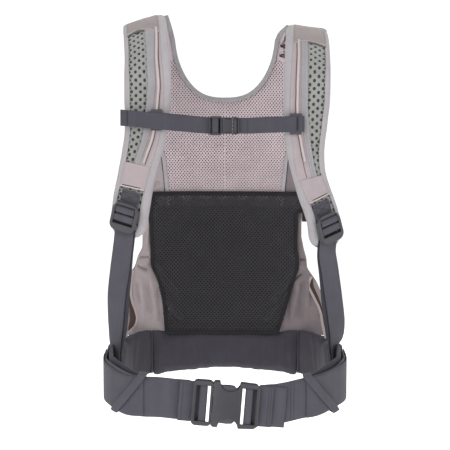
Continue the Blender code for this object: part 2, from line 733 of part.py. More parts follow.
# the pad rolls so that its outer edge lies lower on the shoulder, and further back at its lower end
SHOULDER_ROLL = {"left": math.radians(17), "right": math.radians(10.5)}
LOWER_ROLL = {"left": math.radians(18), "right": math.radians(32)}
YOKE_Z = {"left": 0.4120, "right": 0.3990}
PATCH_Z = {"left": (0.2585, 0.2295), "right": (0.2420, 0.2155)}
LOCK_Z = {"left": 0.2030, "right": 0.1893}
LOCK_ACROSS = {"left": -1.0 * MM, "right": 2.6 * MM}
# middle line of the webbing below each lock, and its turn about its length in degrees by height
LOWER_LINES = {
    "left": [
        (0.1250, -0.1262, 0.1640), (0.1301, -0.1195, 0.1270), (0.1349, -0.1125, 0.0920),
        (0.1368, -0.1050, 0.0550), (0.1380, -0.0985, 0.0190), (0.1355, -0.0950, -0.0200),
    ],
    "right": [
        (0.1262, -0.1262, 0.1480), (0.1300, -0.1195, 0.1250), (0.1348, -0.1125, 0.0930),
        (0.1396, -0.1060, 0.0590), (0.1403, -0.1015, 0.0380), (0.1375, -0.0985, 0.0235),
        (0.1365, -0.0965, 0.0050), (0.1355, -0.0950, -0.0200),
    ],
}
LOWER_TWIST = {
    "left": [(0.019, 60), (0.055, 40), (0.092, 25), (0.127, 16), (0.160, 18)],
    "right": [(0.011, 82), (0.0235, 69), (0.033, 52), (0.042, 43), (0.059, 34), (0.093, 30), (0.145, 32)],
}
STRAIGHT_X, STRAIGHT_Y, STRAIGHT_Z = 0.0965, -0.1200, 0.3175     # on the straight front stretch
RIGHT_SHIFT = 3 * MM            # the right strap's piping sits further out


def ease(value, low, high):
    """0 below low, 1 above high, smooth between."""
    part = min(max((value - low) / (high - low), 0.0), 1.0)
    return part * part * (3 - 2 * part)


class Strap:
    """A shoulder strap: side -1 is the left of the view, +1 the right, which hangs a little lower."""

    def __init__(self, side, label):
        self.side = side
        self.label = label
        self.path = Path(smooth_path([(side * x, y, z) for x, y, z in STRAP_LINES[label]], 6))
        self.flat = [self.share_at(z) for z in (0.385, 0.350, 0.262, 0.205)]

    def share_at(self, z):
        """The share of the strap's length where its front stretch reaches a height."""
        return self.path.share_where(lambda p: p.y < -0.05 and p.z <= z)

    def roll(self, share):
        """How far the pad is rolled about its length: not at all where the piping runs."""
        first, second, third, fourth = self.flat
        upper = SHOULDER_ROLL[self.label] * ease(share, 0.0, 0.10) * (1 - ease(share, first, second))
        return upper + LOWER_ROLL[self.label] * ease(share, third, fourth)

    def frame(self, share):
        """Directions on the strap: towards the wearer's middle and off its face."""
        along = self.path.along(share)
        face = Vector((0, along.z, -along.y)).normalized()
        inner = along.cross(face)
        if inner.x * self.side > 0:
            inner = -inner
        turn = self.roll(share)
        return (inner * math.cos(turn) + face * math.sin(turn),
                face * math.cos(turn) - inner * math.sin(turn))

    def point(self, share, across, height):
        """A place on the strap: across is towards the wearer's middle, height is off its face."""
        inner, face = self.frame(share)
        return self.path.at(share) + inner * across + face * height

    def half_width(self, share):
        """Half the pad's width: wide over the chest, round at its lower end."""
        left = (1 - share) * self.path.length
        half = blend_table(STRAP_HALVES[self.label], left)
        if left < 0.022:
            half *= max(math.sqrt(max(1 - (1 - left / 0.022) ** 2, 0.0)), 0.30)
        return half

    def tape_edge(self, share):
        """Where the inner tape begins: the tape narrows beside the lock's anchor webbing."""
        half = self.half_width(share)
        anchor = LOCK_ACROSS[self.label] + SHOULDER_WEB / 2 + GAP
        return half - min(INNER_TAPE, half - anchor)

    def band(self, name, start, end, low, high, height, thickness, finish, rows, columns=1):
        """A layer on the strap's face between two shares of its length."""
        def place(u, v):
            share = start + (end - start) * v
            return self.point(share, low(share) + (high(share) - low(share)) * u, height)

        return sheet(name, place, columns, rows, thickness, finish)


FACE = STRAP_FACE + GAP + SKIN / 2      # middle of the fabric layers over the pad
OUTER_TAPE = 6 * MM
INNER_TAPE = 8 * MM


def build_strap(strap):
    label = strap.label
    half = strap.half_width
    strap.band(f"strap_pad_{label}", 0.0, 1.0, lambda s: -half(s), half, 0.0, STRAP_THICK, "pad_mesh", 40, 3)

    patch_start, patch_end = (strap.share_at(z) for z in PATCH_Z[label])
    yoke_end = strap.share_at(YOKE_Z[label])
    strap.band(f"strap_tape_outer_{label}", 0.025, 0.95, lambda s: -half(s) + 0.4 * MM,
               lambda s: -half(s) + OUTER_TAPE, FACE, SKIN, "grey_binding", 37)
    strap.band(f"strap_tape_inner_{label}", 0.025, 0.95, strap.tape_edge,
               lambda s: half(s) - 0.4 * MM, FACE, SKIN, "grey_binding", 37)
    strap.band(f"strap_yoke_{label}", 0.025, yoke_end, lambda s: -half(s) + OUTER_TAPE + GAP,
               lambda s: strap.tape_edge(s) - GAP, FACE, SKIN, "taupe_fabric", 8)
    strap.band(f"slider_panel_{label}", yoke_end + 0.004, patch_start - 0.004, lambda s: -1.0 * MM,
               lambda s: strap.tape_edge(s) - 3 * GAP, FACE, SKIN, "pink_fabric", 24)
    strap.band(f"strap_patch_{label}", patch_start, patch_end, lambda s: -half(s) + OUTER_TAPE + GAP,
               lambda s: strap.tape_edge(s) - GAP, FACE, SKIN, "pink_fabric", 6)
    build_rail(strap)
    build_ladder_lock(strap)


def chest_place(side, across, height, z):
    """A place on the straight stretch of a strap, at a world height."""
    shift = RIGHT_SHIFT if side > 0 else 0.0
    slope = math.hypot(1, STRAP_SLOPE)
    y = STRAIGHT_Y + (z - STRAIGHT_Z) * STRAP_SLOPE - height / slope
    return Vector((side * (STRAIGHT_X + shift - across), y, z + height * STRAP_SLOPE / slope))


def build_rail(strap):
    """The piping that the chest strap's clip slides on."""
    curve = bpy.data.curves.new(f"slider_rail_{strap.label}", "CURVE")
    curve.dimensions = "3D"
    curve.bevel_depth = RAIL_RADIUS
    curve.bevel_resolution = 1
    curve.use_fill_caps = True
    spline = curve.splines.new("POLY")
    heights = [RAIL_TOP_Z, (RAIL_TOP_Z + RAIL_LOW_Z) / 2, RAIL_LOW_Z]
    spline.points.add(len(heights) - 1)
    for point, z in zip(spline.points, heights):
        point.co = (*chest_place(strap.side, RAIL_ACROSS, RAIL_HEIGHT, z), 1)
    item = bpy.data.objects.new(f"slider_rail_{strap.label}", curve)
    material = make_material("pink_fabric")
    material.name = f"pink_fabric_rail_{strap.label}"
    curve.materials.append(material)
    PARTS.objects.link(item)


def lock_frame(strap):
    """The place and directions of the bar that the ladder lock tilts on."""
    share = strap.share_at(LOCK_Z[strap.label])
    along = strap.path.along(share)
    inner, face = strap.frame(share)
    across = (-along).cross(face).normalized()
    place = strap.point(share, LOCK_ACROSS[strap.label], LOCK_HEIGHT)
    turn = Matrix((across, -face, across.cross(-face))).transposed()
    lean = Matrix.Rotation(-strap.side * LOCK_LEAN, 3, "Y")
    return place, (turn @ lean).to_euler()


def build_ladder_lock(strap):
    """Anchor webbing, ladder lock and the webbing through it, and the long webbing down to the belt."""
    label = strap.label
    place, turn = lock_frame(strap)
    pivot = make_frame(f"lock_pivot_{label}", place, turn)
    half_w = LOCK_WIDTH / 2
    outline = []
    for x, z, radius, start in ((half_w, LOCK_TOP, 10 * MM, 0), (-half_w, LOCK_TOP, 10 * MM, 90),
                                (-half_w, LOCK_LOW, 9 * MM, 180), (half_w, LOCK_LOW, 9 * MM, 270)):
        center = (x - math.copysign(radius, x), z - math.copysign(radius, z))
        outline += arc(center, radius, start, start + 90, 5)
    slot = SHOULDER_WEB / 2 + 0.6 * MM
    holes = []
    for low, high in ((2.6, 6.0), (-7.4, -2.6), (-18.0, -12.4)):
        a, b = low * MM, high * MM
        half = slot if a < 0 else slot - 1.0 * MM
        holes.append([(-half, a), (half, a), (half, b), (-half, b)])
    lock = add_object(f"ladder_lock_{label}", outline_mesh("lock", [outline] + holes, LOCK_THICK),
                      "buckle_plastic", pivot)
    half_t = LOCK_THICK / 2
    recess = SHOULDER_WEB / 2 + GAP
    cut_boxes(lock, [
        ((-recess, -half_t - MM, -12.6 * MM), (recess, -2.2 * MM, 2.8 * MM)),
        ((-recess, 2.2 * MM, -12.6 * MM), (recess, half_t + MM, 2.8 * MM)),
        ((-half_w - MM, -0.5 * MM, 2.7 * MM), (half_w + MM, half_t + MM, LOCK_TOP + MM)),
    ])
    wrap = [(-14.8, 3.0), (-14.8, 0.4), (-13.4, -2.4), (-12.6, -3.2), (-7.2, -3.2), (-6.5, -2.2), (-6.4, 2.4)]
    ribbon(f"lock_webbing_{label}", [(0, y * MM, v * MM) for v, y in wrap], SHOULDER_WEB, 1.0 * MM,
           "webbing", pivot, wide=(1, 0, 0))

    # the anchor: down the pad's face, round the lock's upper bar and back up, sewn to the pad
    radius = 4.1 * MM
    top = 24 * MM
    back = LOCK_HEIGHT - STRAP_FACE - GAP - 0.6 * MM
    around = [(-radius * math.sin(math.radians(t)), radius * math.cos(math.radians(t)))
              for t in range(0, 261, 20)]
    line = [(top, back), (8.0 * MM, back)] + around
    line += [(4.4 * MM, 1.9 * MM), (5.6 * MM, 3.4 * MM), (8.5 * MM, 4.4 * MM), (top, 4.9 * MM)]
    ribbon(f"anchor_webbing_{label}", [(0, y, z) for z, y in line], SHOULDER_WEB - MM, 1.0 * MM, "webbing",
           pivot, wide=(1, 0, 0))
    build_lower_webbing(strap)


def build_lower_webbing(strap):
    """The webbing from the ladder lock to the side of the waist belt."""
    side = strap.side
    low = LOCK_Z[strap.label] - 0.2000
    across = LOCK_ACROSS[strap.label] - 1.5 * MM
    starts = [strap.point(strap.share_at(z + low), across, STRAP_FACE + 2.6 * MM) for z in (0.191, 0.178)]
    rest = [(side * x, y, z) for x, y, z in LOWER_LINES[strap.label]]
    path = Path(smooth_path([*starts, *rest], 3))

    def place(u, v):
        along = path.along(v)
        turn = math.radians(blend_table(LOWER_TWIST[strap.label], path.at(v).z))
        across = Vector((math.cos(turn), side * math.sin(turn), 0))
        across = (across - along * across.dot(along)).normalized()
        return path.at(v) + across * ((u - 0.5) * SHOULDER_WEB)

    sheet(f"lower_webbing_{strap.label}", place, 1, 22, 1.1 * MM, "webbing")


# ---------------------------------------------------------------- chest strap
def build_chest_strap():
    lean = math.atan(STRAP_SLOPE)
    origin = chest_place(-1, 0.0, 0.0, CHEST_Z)
    frame = make_frame("chest_slide", (0, origin.y, CHEST_Z), (-lean, 0, 0))
    buckle = make_frame("chest_buckle_frame", (0, -CHEST_BUCKLE_HEIGHT, 0), parent=frame)
    plug_frame = build_buckle("chest", buckle, CHEST_SHAPE)

    for side, label in ((-1, "left"), (1, "right")):
        shift = RIGHT_SHIFT if side > 0 else 0.0
        rail_x = side * (0.0965 + shift - RAIL_ACROSS)
        rise = 7 * MM if side < 0 else 2 * MM
        clip = add_object(f"chest_clip_{label}", box_mesh(
            "clip", (rail_x - 7 * MM, -CHEST_CLIP_FACE, rise - 13 * MM),
            (rail_x + 7 * MM, -9.3 * MM, rise + 13 * MM)), "buckle_plastic", frame)
        soften(clip, 0.8 * MM)
        channel = outline_mesh("channel", [arc((0, 0), RAIL_RADIUS + 0.5 * MM, 0, 330, 11)], 60 * MM)
        upright = Matrix.Rotation(math.pi / 2, 4, "X")
        channel.transform(Matrix.Translation((rail_x, -RAIL_HEIGHT, rise)) @ upright)
        cut(clip, channel)
        neck, reach = 1.3 * MM, 30 * MM
        cut_boxes(clip, [((rail_x - neck, -RAIL_HEIGHT, rise - reach), (rail_x + neck, 0, rise + reach))])

    # left main webbing: sewn to the clip, it runs behind the buckle
    web = CHEST_CLIP_FACE + GAP + CHEST_WEB_THICK / 2
    line = [(-0.0935, -web, 0.0075), (-0.0740, -web, 0.0055), (-0.0620, -0.0112, 0.0044),
            (-0.0500, -0.0103, 0.0032), (-0.0215, -0.0103, 0.0005), (0.0080, -0.0103, 0.0)]
    ribbon("chest_webbing_left", line, CHEST_WEB, CHEST_WEB_THICK, "webbing", frame)

    # the plug's webbing: round its bar, its long tail lying over the left strap
    over = web + CHEST_WEB_THICK + 0.4 * MM
    bar = -CHEST_BUCKLE_HEIGHT
    tail = [(-0.1270, -over, 0.0098), (-0.0700, -over, 0.0044), (-0.0350, -over, 0.0012),
            (-0.0205, bar + 0.7 * MM, 0.0), (-0.0175, bar + 0.5 * MM, 0.0), (-0.0160, bar - 0.8 * MM, 0.0),
            (-0.0152, bar - 2.2 * MM, 0.0), (-0.0145, bar - 2.6 * MM, 0.0), (-0.0096, bar - 2.6 * MM, 0.0),
            (-0.0084, bar - 1.9 * MM, 0.0), (-0.0082, bar, 0.0), (-0.0086, bar + 2.2 * MM, 0.0),
            (-0.0103, bar + 2.7 * MM, 0.0), (-0.0160, bar + 2.8 * MM, 0.0)]
    tail_frame = make_frame("chest_tail_frame", (0, CHEST_BUCKLE_HEIGHT, 0), parent=plug_frame)
    ribbon("chest_tail", tail, CHEST_WEB - 0.2 * MM, 0.9 * MM, "webbing", tail_frame)

    # right webbing: round the socket's bar, sewn, then over the right strap to its clip
    right = [(0.0965, -web, 0.0022), (0.0720, -web, 0.0017), (0.0560, -0.0130, 0.0012),
             (0.0300, -0.0140, 0.0)]
    right += [(0.0205, bar + 0.9 * MM, 0.0), (0.0153, bar + 0.7 * MM, 0.0), (0.0143, bar - 1.0 * MM, 0.0),
              (0.0137, bar - 2.6 * MM, 0.0), (0.0110, bar - 2.6 * MM, 0.0), (0.0102, bar - 1.4 * MM, 0.0),
              (0.0102, bar + 1.4 * MM, 0.0), (0.0112, bar + 2.7 * MM, 0.0), (0.0170, bar + 2.9 * MM, 0.0),
              (0.0262, bar + 2.8 * MM, 0.0)]
    ribbon("chest_webbing_right", right, CHEST_WEB - 0.4 * MM, 0.9 * MM, "webbing", frame)


def build_hood_loops():
    """Two small cord loops on the panel's right top corner."""
    for number, z in enumerate((0.3985, 0.3865), start=1):
        line = [(0.0675, z), (0.0735, z + 0.0006)]
        panel_strip(f"hood_loop_{number}", line, 2.2 * MM, LOOP_DEPTH, 1.4 * MM, "black_mesh", 3)


build_panel()
build_mesh_seat()
build_belt_pad()
build_waist_webbing()
build_waist_buckle()
for strap_side, strap_label in ((-1, "left"), (1, "right")):
    build_strap(Strap(strap_side, strap_label))
build_chest_strap()
build_hood_loops()
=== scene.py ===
"""Looks of the soft baby carrier: fabric, mesh, webbing, moulded buckles, camera and light."""
import math

import bmesh
import bpy
from mathutils import Matrix, Vector, noise


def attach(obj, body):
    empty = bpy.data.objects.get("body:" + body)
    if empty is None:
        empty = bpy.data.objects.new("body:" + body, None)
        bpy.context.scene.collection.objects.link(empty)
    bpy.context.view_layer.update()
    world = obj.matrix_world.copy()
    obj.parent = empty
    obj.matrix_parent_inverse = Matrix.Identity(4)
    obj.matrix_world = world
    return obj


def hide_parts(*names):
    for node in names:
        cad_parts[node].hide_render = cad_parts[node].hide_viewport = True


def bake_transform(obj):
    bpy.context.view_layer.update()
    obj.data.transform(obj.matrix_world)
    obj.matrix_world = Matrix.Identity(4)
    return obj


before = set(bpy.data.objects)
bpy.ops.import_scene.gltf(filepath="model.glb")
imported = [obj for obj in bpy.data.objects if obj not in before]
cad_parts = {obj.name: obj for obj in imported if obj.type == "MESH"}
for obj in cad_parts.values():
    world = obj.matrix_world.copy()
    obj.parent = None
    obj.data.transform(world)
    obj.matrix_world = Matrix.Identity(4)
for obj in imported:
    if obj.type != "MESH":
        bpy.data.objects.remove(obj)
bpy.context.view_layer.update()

MM = 0.001
UP = Vector((0, 0, 1))


def mm(table):
    """A table written in millimetres, turned into metres."""
    if isinstance(table, dict):
        return {key: mm(value) for key, value in table.items()}
    if isinstance(table, (list, tuple)):
        return type(table)(mm(value) for value in table)
    return table / 1000


# ---------------------------------------------------------------- camera, light and floor
CAMERA_PLACE = (0, -2.337, 0.4938)
CAMERA_PITCH = math.radians(82)
CAMERA_LENS = 145.4
FLOOR_Z = -0.42


def stage():
    """Camera at the photographed angle, soft studio light and a pale floor far below."""
    camera = bpy.data.objects.new("camera", bpy.data.cameras.new("camera"))
    bpy.context.scene.collection.objects.link(camera)
    camera.location = CAMERA_PLACE
    camera.rotation_euler = (CAMERA_PITCH, 0, 0)
    camera.data.lens = CAMERA_LENS
    bpy.context.scene.camera = camera
    bpy.context.scene.view_settings.view_transform = "Standard"

    lamps = [
        ("key", (-1.1, -1.9, 1.5), 1.6, 23),
        ("fill", (1.5, -1.6, 0.7), 1.6, 11),
        ("top", (0.0, -0.1, 2.2), 1.8, 15),
        ("back", (0.3, 2.0, 1.0), 1.8, 20),
    ]
    for name, place, size, power in lamps:
        lamp = bpy.data.lights.new(name, "AREA")
        lamp.size = size
        lamp.energy = power
        item = bpy.data.objects.new(name, lamp)
        item.location = place
        item.rotation_euler = (Vector((0, -0.05, 0.18)) - Vector(place)).to_track_quat("-Z", "Y").to_euler()
        bpy.context.scene.collection.objects.link(item)

    world = bpy.data.worlds.new("studio")
    bpy.context.scene.world = world
    world.use_nodes = True
    world.node_tree.nodes["Background"].inputs["Color"].default_value = (1.0, 1.0, 1.0, 1)
    world.node_tree.nodes["Background"].inputs["Strength"].default_value = 0.55

    form = bmesh.new()
    bmesh.ops.create_grid(form, x_segments=1, y_segments=1, size=200)
    mesh = bpy.data.meshes.new("floor")
    form.to_mesh(mesh)
    form.free()
    floor = bpy.data.objects.new("floor", mesh)
    floor.location.z = FLOOR_Z
    look = bpy.data.materials.new("floor_white")
    look.use_nodes = True
    shader = look.node_tree.nodes["Principled BSDF"]
    shader.inputs["Base Color"].default_value = (0.9, 0.9, 0.9, 1)
    shader.inputs["Roughness"].default_value = 0.9
    shader.inputs["Emission Color"].default_value = (1, 1, 1, 1)
    shader.inputs["Emission Strength"].default_value = 0.6
    mesh.materials.append(look)
    bpy.context.scene.collection.objects.link(floor)


# ---------------------------------------------------------------- materials
def linear(red, green, blue):
    """A display colour, 0 to 255, as linear light."""
    def channel(value):
        value /= 255
        return value / 12.92 if value <= 0.04045 else ((value + 0.055) / 1.055) ** 2.4
    return (channel(red), channel(green), channel(blue))


class Look:
    """A Principled material with a chain of nodes for its colour and its bump."""

    def __init__(self, name, color, roughness=0.85, sheen=0.0, specular=0.3):
        self.material = bpy.data.materials.new(name)
        self.material.use_nodes = True
        self.tree = self.material.node_tree
        self.shader = self.tree.nodes["Principled BSDF"]
        self.color = (*color, 1.0)
        self.height = None
        self.shader.inputs["Base Color"].default_value = self.color
        self.shader.inputs["Roughness"].default_value = roughness
        self.shader.inputs["Specular IOR Level"].default_value = specular
        if sheen:
            self.shader.inputs["Sheen Weight"].default_value = sheen
            self.shader.inputs["Sheen Roughness"].default_value = 0.5

    def node(self, kind, **settings):
        made = self.tree.nodes.new("ShaderNode" + kind)
        for key, value in settings.items():
            setattr(made, key, value)
        return made

    def feed(self, socket, value):
        if hasattr(value, "is_linked"):
            self.tree.links.new(value, socket)
        else:
            socket.default_value = value

    def math(self, operation, a, b=0.0):
        made = self.node("Math", operation=operation)
        self.feed(made.inputs[0], a)
        self.feed(made.inputs[1], b)
        return made.outputs[0]

    def cloth_uv(self):
        """Distance across and along the cloth, in metres."""
        split = self.node("SeparateXYZ")
        self.feed(split.inputs[0], self.node("UVMap", uv_map="cloth").outputs["UV"])
        return split.outputs[0], split.outputs[1]

    def place_xz(self):
        """Distance across and up the object, for pieces without a cloth map."""
        split = self.node("SeparateXYZ")
        self.feed(split.inputs[0], self.node("TexCoord").outputs["Object"])
        return split.outputs[0], split.outputs[2]

    def noise(self, scale, detail=2.0, stretch=(1, 1, 1)):
        mapping = self.node("Mapping")
        self.feed(mapping.inputs["Vector"], self.node("TexCoord").outputs["Object"])
        mapping.inputs["Scale"].default_value = stretch
        made = self.node("TexNoise")
        self.feed(made.inputs["Vector"], mapping.outputs[0])
        made.inputs["Scale"].default_value = scale
        made.inputs["Detail"].default_value = detail
        return made.outputs["Fac"]

    def spread(self, value, low, high, new_low, new_high):
        made = self.node("MapRange")
        for socket, number in zip(made.inputs[:5], (value, low, high, new_low, new_high)):
            self.feed(socket, number)
        return made.outputs[0]

    def shade(self, factor):
        """Multiplies the colour by a factor that varies over the surface."""
        made = self.node("Mix", data_type="RGBA", blend_type="MULTIPLY")
        made.inputs[0].default_value = 1.0
        self.feed(made.inputs[6], self.color)
        gray = self.node("CombineColor")
        for socket in gray.inputs[:3]:
            self.feed(socket, factor)
        self.feed(made.inputs[7], gray.outputs[0])
        self.color = made.outputs[2]
        self.feed(self.shader.inputs["Base Color"], self.color)

    def tint(self, color, factor):
        """Mixes in another colour."""
        made = self.node("Mix", data_type="RGBA")
        self.feed(made.inputs[0], factor)
        self.feed(made.inputs[6], self.color)
        made.inputs[7].default_value = (*color, 1.0)
        self.color = made.outputs[2]
        self.feed(self.shader.inputs["Base Color"], self.color)

    def raise_by(self, height, distance):
        """Adds a bump: the height runs from 0 to 1, the distance is in metres."""
        bump = self.node("Bump")
        bump.inputs["Distance"].default_value = distance
        bump.inputs["Strength"].default_value = 1.0
        self.feed(bump.inputs["Height"], height)
        if self.height:
            self.feed(bump.inputs["Normal"], self.height)
        self.height = bump.outputs[0]
        self.feed(self.shader.inputs["Normal"], self.height)

    def wave(self, value, pitch, shift=0.0):
        """A sine over a distance, from 0 to 1."""
        turned = self.math("MULTIPLY", value, 2 * math.pi / pitch)
        turned = self.math("ADD", turned, shift)
        return self.half(self.math("SINE", turned))

    def half(self, value):
        scaled = self.math("MULTIPLY", value, 0.5)
        return self.math("ADD", scaled, 0.5)


def woven(name, color, pitch=(1.1, 0.9), depth=0.12, mottle=0.12, sheen=0.15, uv=True, roughness=0.88,
          streak=0.0):
    """Plain-woven cloth or webbing: rows of threads over and under, mottled, with a soft sheen."""
    look = Look(name, color, roughness, sheen, 0.2)
    across, along = look.cloth_uv() if uv else look.place_xz()
    column = look.math("FLOOR", look.math("MULTIPLY", across, 1000 / pitch[0]))
    warp = look.math("ABSOLUTE", look.math("SINE", look.math("MULTIPLY", across, math.pi * 1000 / pitch[0])))
    weft = look.wave(along, pitch[1] * MM, look.math("MULTIPLY", column, math.pi))
    threads = look.math("MULTIPLY", warp, look.math("ADD", look.math("MULTIPLY", weft, 0.6), 0.4))
    look.raise_by(threads, depth * MM)
    # the gaps between the threads are painted darker than their crowns: painted shade of the weave
    look.shade(look.spread(threads, 0.0, 1.0, 0.80, 1.06))
    look.shade(look.spread(look.noise(60, 3), 0.3, 0.7, 1 - mottle, 1 + mottle))
    look.shade(look.spread(look.noise(900, 2), 0.3, 0.7, 0.94, 1.06))
    if streak:
        look.shade(look.spread(look.noise(120, 2, (1, 1, 0.06)), 0.3, 0.7, 1 - streak, 1 + streak))
    return look.material


def knitted(name, color, dark, pitch=1.3):
    """Soft knitted net yarn: fine loops, slightly fuzzy."""
    look = Look(name, color, 0.92, 0.25, 0.15)
    loops = look.noise(1400 / pitch, 2)
    look.raise_by(loops, 0.15 * MM)
    look.tint(dark, look.spread(look.noise(700, 3), 0.45, 0.75, 0.0, 0.35))
    look.shade(look.spread(look.noise(45, 2), 0.3, 0.7, 0.93, 1.06))
    return look.material


def moulded(name, color):
    """Moulded plastic: satin with a fine spark texture, slightly paler on its sharp convex edges."""
    look = Look(name, color, 0.42, 0.0, 0.45)
    look.raise_by(look.noise(2600, 2), 0.03 * MM)
    look.feed(look.shader.inputs["Roughness"], look.spread(look.noise(300, 3), 0.3, 0.7, 0.36, 0.52))
    edge = look.node("NewGeometry").outputs["Pointiness"]
    look.tint(linear(112, 110, 115), look.spread(edge, 0.52, 0.62, 0.0, 0.22))
    look.shade(look.spread(look.noise(40, 3), 0.3, 0.7, 0.93, 1.07))
    return look.material


def make_looks():
    return {
        "webbing": woven("slate_webbing", linear(80, 79, 87), (1.25, 1.0), 0.16, 0.05, 0.1, streak=0.05),
        # folded_webbing: a darker copy of the slate webbing, painted shade for a layer lying behind another;
        # it also colours the belt's piping
        "fold": woven("folded_webbing", linear(60, 60, 67), (1.25, 1.0), 0.16, 0.08, 0.1),
        "belt": woven("charcoal_canvas", linear(62, 60, 67), (0.8, 0.8), 0.1, 0.08, 0.12, uv=False),
        "plastic": moulded("buckle_plastic_satin", linear(47, 45, 50)),
        "lock_plastic": moulded("lock_plastic_satin", linear(38, 37, 41)),
        "chest_web": woven("chest_webbing", linear(73, 72, 80), (1.25, 1.0), 0.16, 0.05, 0.1, streak=0.05),
        "spacer": knitted("pink_spacer_knit", linear(194, 179, 183), linear(156, 138, 143)),
        "spacer_back": knitted("spacer_underside", linear(112, 92, 97), linear(80, 64, 68)),
        "net": knitted("black_net_yarn", linear(58, 56, 59), linear(28, 26, 28)),
        "net_back": knitted("black_net_underlayer", linear(27, 26, 27), linear(16, 15, 16)),
        "hem": woven("black_hem", linear(37, 35, 37), (0.9, 0.9), 0.12, 0.15, 0.1),
        "taupe": woven("taupe_canvas", linear(162, 151, 153), (0.8, 0.8), 0.08, 0.05, 0.15),
        "shell": woven("outer_canvas", linear(150, 140, 142), (0.9, 0.9), 0.1, 0.05, 0.15),
        "yoke": woven("yoke_canvas", linear(144, 136, 134), (0.8, 0.8), 0.08, 0.05, 0.15),
        "tape": woven("pale_grey_tape", linear(165, 161, 164), (1.2, 0.8), 0.16, 0.05, 0.15),
        "band": woven("pale_window_band", linear(152, 149, 152), (1.2, 0.8), 0.18, 0.06, 0.15),
        "taupe_shade": woven("taupe_canvas_in_shade", linear(123, 114, 116), (0.8, 0.8), 0.08, 0.07, 0.15),
        "binding": woven("grey_binding_tape", linear(156, 154, 156), (1.2, 0.8), 0.14, 0.05, 0.15),
        "pink": woven("pink_taupe_canvas", linear(166, 155, 158), (0.7, 0.7), 0.07, 0.04, 0.15),
        "piping": woven("pink_piping", linear(188, 175, 174), (0.8, 0.8), 0.06, 0.04, 0.15),
        "leg": woven("leg_tape", linear(168, 155, 153), (0.9, 0.7), 0.08, 0.05, 0.15),
        "pad_net": knitted("grey_green_mesh", linear(142, 143, 140), linear(104, 104, 101)),
        "pad_under": knitted("pad_mesh_underside", linear(62, 60, 54), linear(44, 42, 37)),
        "pad_cloth": woven("pad_backing_cloth", linear(120, 118, 120), (0.9, 0.9), 0.1, 0.05, 0.15, uv=False),
        "thread": Look("pale_thread", linear(175, 172, 176), 0.6, 0.2).material,
        "dark_thread": Look("dark_thread", linear(34, 33, 40), 0.6, 0.2).material,
        "yoke_edge": woven("yoke_hem_fold", linear(174, 165, 163), (0.8, 0.8), 0.08, 0.05, 0.15),
        "mesh_shade": knitted("mesh_in_shade", linear(92, 93, 90), linear(70, 71, 68)),
        "soft_slit": Look("shaded_slit", linear(104, 92, 92), 0.95).material,
        # painted shade: the dark cloth inside the leg openings
        "opening_shade": woven("leg_opening_painted_shade", linear(74, 60, 58), (0.8, 0.8), 0.08, 0.1, 0.1),
        # painted shade: dark strips for the patch's slit and the gap in the waist buckle
        "slit": Look("slit_painted_shade", linear(52, 44, 44), 0.95).material,
    }


LOOKS = make_looks()


# ---------------------------------------------------------------- mesh helpers
def add_piece(name, form, look, flip_check=True):
    """Turns a bmesh into a shown piece with one material."""
    if flip_check:
        bmesh.ops.recalc_face_normals(form, faces=form.faces)
    mesh = bpy.data.meshes.new(name)
    form.to_mesh(mesh)
    form.free()
    for polygon in mesh.polygons:
        polygon.use_smooth = True
    mesh.materials.append(LOOKS[look])
    item = bpy.data.objects.new(name, mesh)
    bpy.context.scene.collection.objects.link(item)
    return item


def settle(item):
    """Applies the piece's modifiers, so that its mesh is final."""
    graph = bpy.context.evaluated_depsgraph_get()
    mesh = bpy.data.meshes.new_from_object(item.evaluated_get(graph))
    item.modifiers.clear()
    item.data = mesh
    return item


def solidify(item, thickness, offset=0.0):
    change = item.modifiers.new("thickness", "SOLIDIFY")
    change.thickness = thickness
    change.offset = offset
    change.use_even_offset = False
    return settle(item)


def set_uv(form, layer, flat):
    """Writes the cloth map from each vertex's own flat coordinates."""
    for face in form.faces:
        for loop in face.loops:
            loop[layer].uv = flat[loop.vert]


def cloth(name, place, columns, rows, thickness, look):
    """A grid of cloth; place(u, v) gives a point and its flat coordinates."""
    form = bmesh.new()
    layer = form.loops.layers.uv.new("cloth")
    flat, grid = {}, []
    for j in range(rows + 1):
        line = []
        for i in range(columns + 1):
            point, spot = place(i / columns, j / rows)
            vert = form.verts.new(point)
            flat[vert] = spot
            line.append(vert)
        grid.append(line)
    for j in range(rows):
        for i in range(columns):
            form.faces.new((grid[j][i], grid[j][i + 1], grid[j + 1][i + 1], grid[j + 1][i]))
    set_uv(form, layer, flat)
    item = add_piece(name, form, look, flip_check=False)
    return solidify(item, thickness) if thickness else item


def sweep(name, stations, section, look):
    """Carries a closed section, a list of (across, height), along (place, across, up) stations."""
    form = bmesh.new()
    layer = form.loops.layers.uv.new("cloth")
    rings, reach = [], [0.0]
    for (a, _, _), (b, _, _) in zip(stations, stations[1:]):
        reach.append(reach[-1] + (b - a).length)
    for number, (place, across, up) in enumerate(stations):
        shape = section(number / max(len(stations) - 1, 1)) if callable(section) else section
        rings.append([form.verts.new(place + across * a + up * h) for a, h in shape])
    around = [0.0]
    shape = section(0.5) if callable(section) else section
    for (a, b), (c, d) in zip(shape, shape[1:] + shape[:1]):
        around.append(around[-1] + math.hypot(c - a, d - b))
    count = len(shape)
    for j in range(len(rings) - 1):
        near, far = rings[j:j + 2]
        for i in range(count):
            n = (i + 1) % count
            face = form.faces.new((near[i], near[n], far[n], far[i]))
            for loop, spot in zip(face.loops, ((around[i], reach[j]), (around[i + 1], reach[j]),
                                               (around[i + 1], reach[j + 1]), (around[i], reach[j + 1]))):
                loop[layer].uv = spot
    for ring in (rings[0], rings[-1]):
        face = form.faces.new(ring)
        for loop in face.loops:
            loop[layer].uv = (loop.vert.co.x, loop.vert.co.z)
    return add_piece(name, form, look)


def web_section(width, thick, columns=8):
    """A flat webbing's section with rounded selvedges."""
    half, rise = width / 2, thick / 2
    xs = [-half + rise * 0.6 + (width - rise * 1.2) * i / columns for i in range(columns + 1)]
    return [(-half, 0)] + [(x, -rise) for x in xs] + [(half, 0)] + [(x, rise) for x in reversed(xs)]


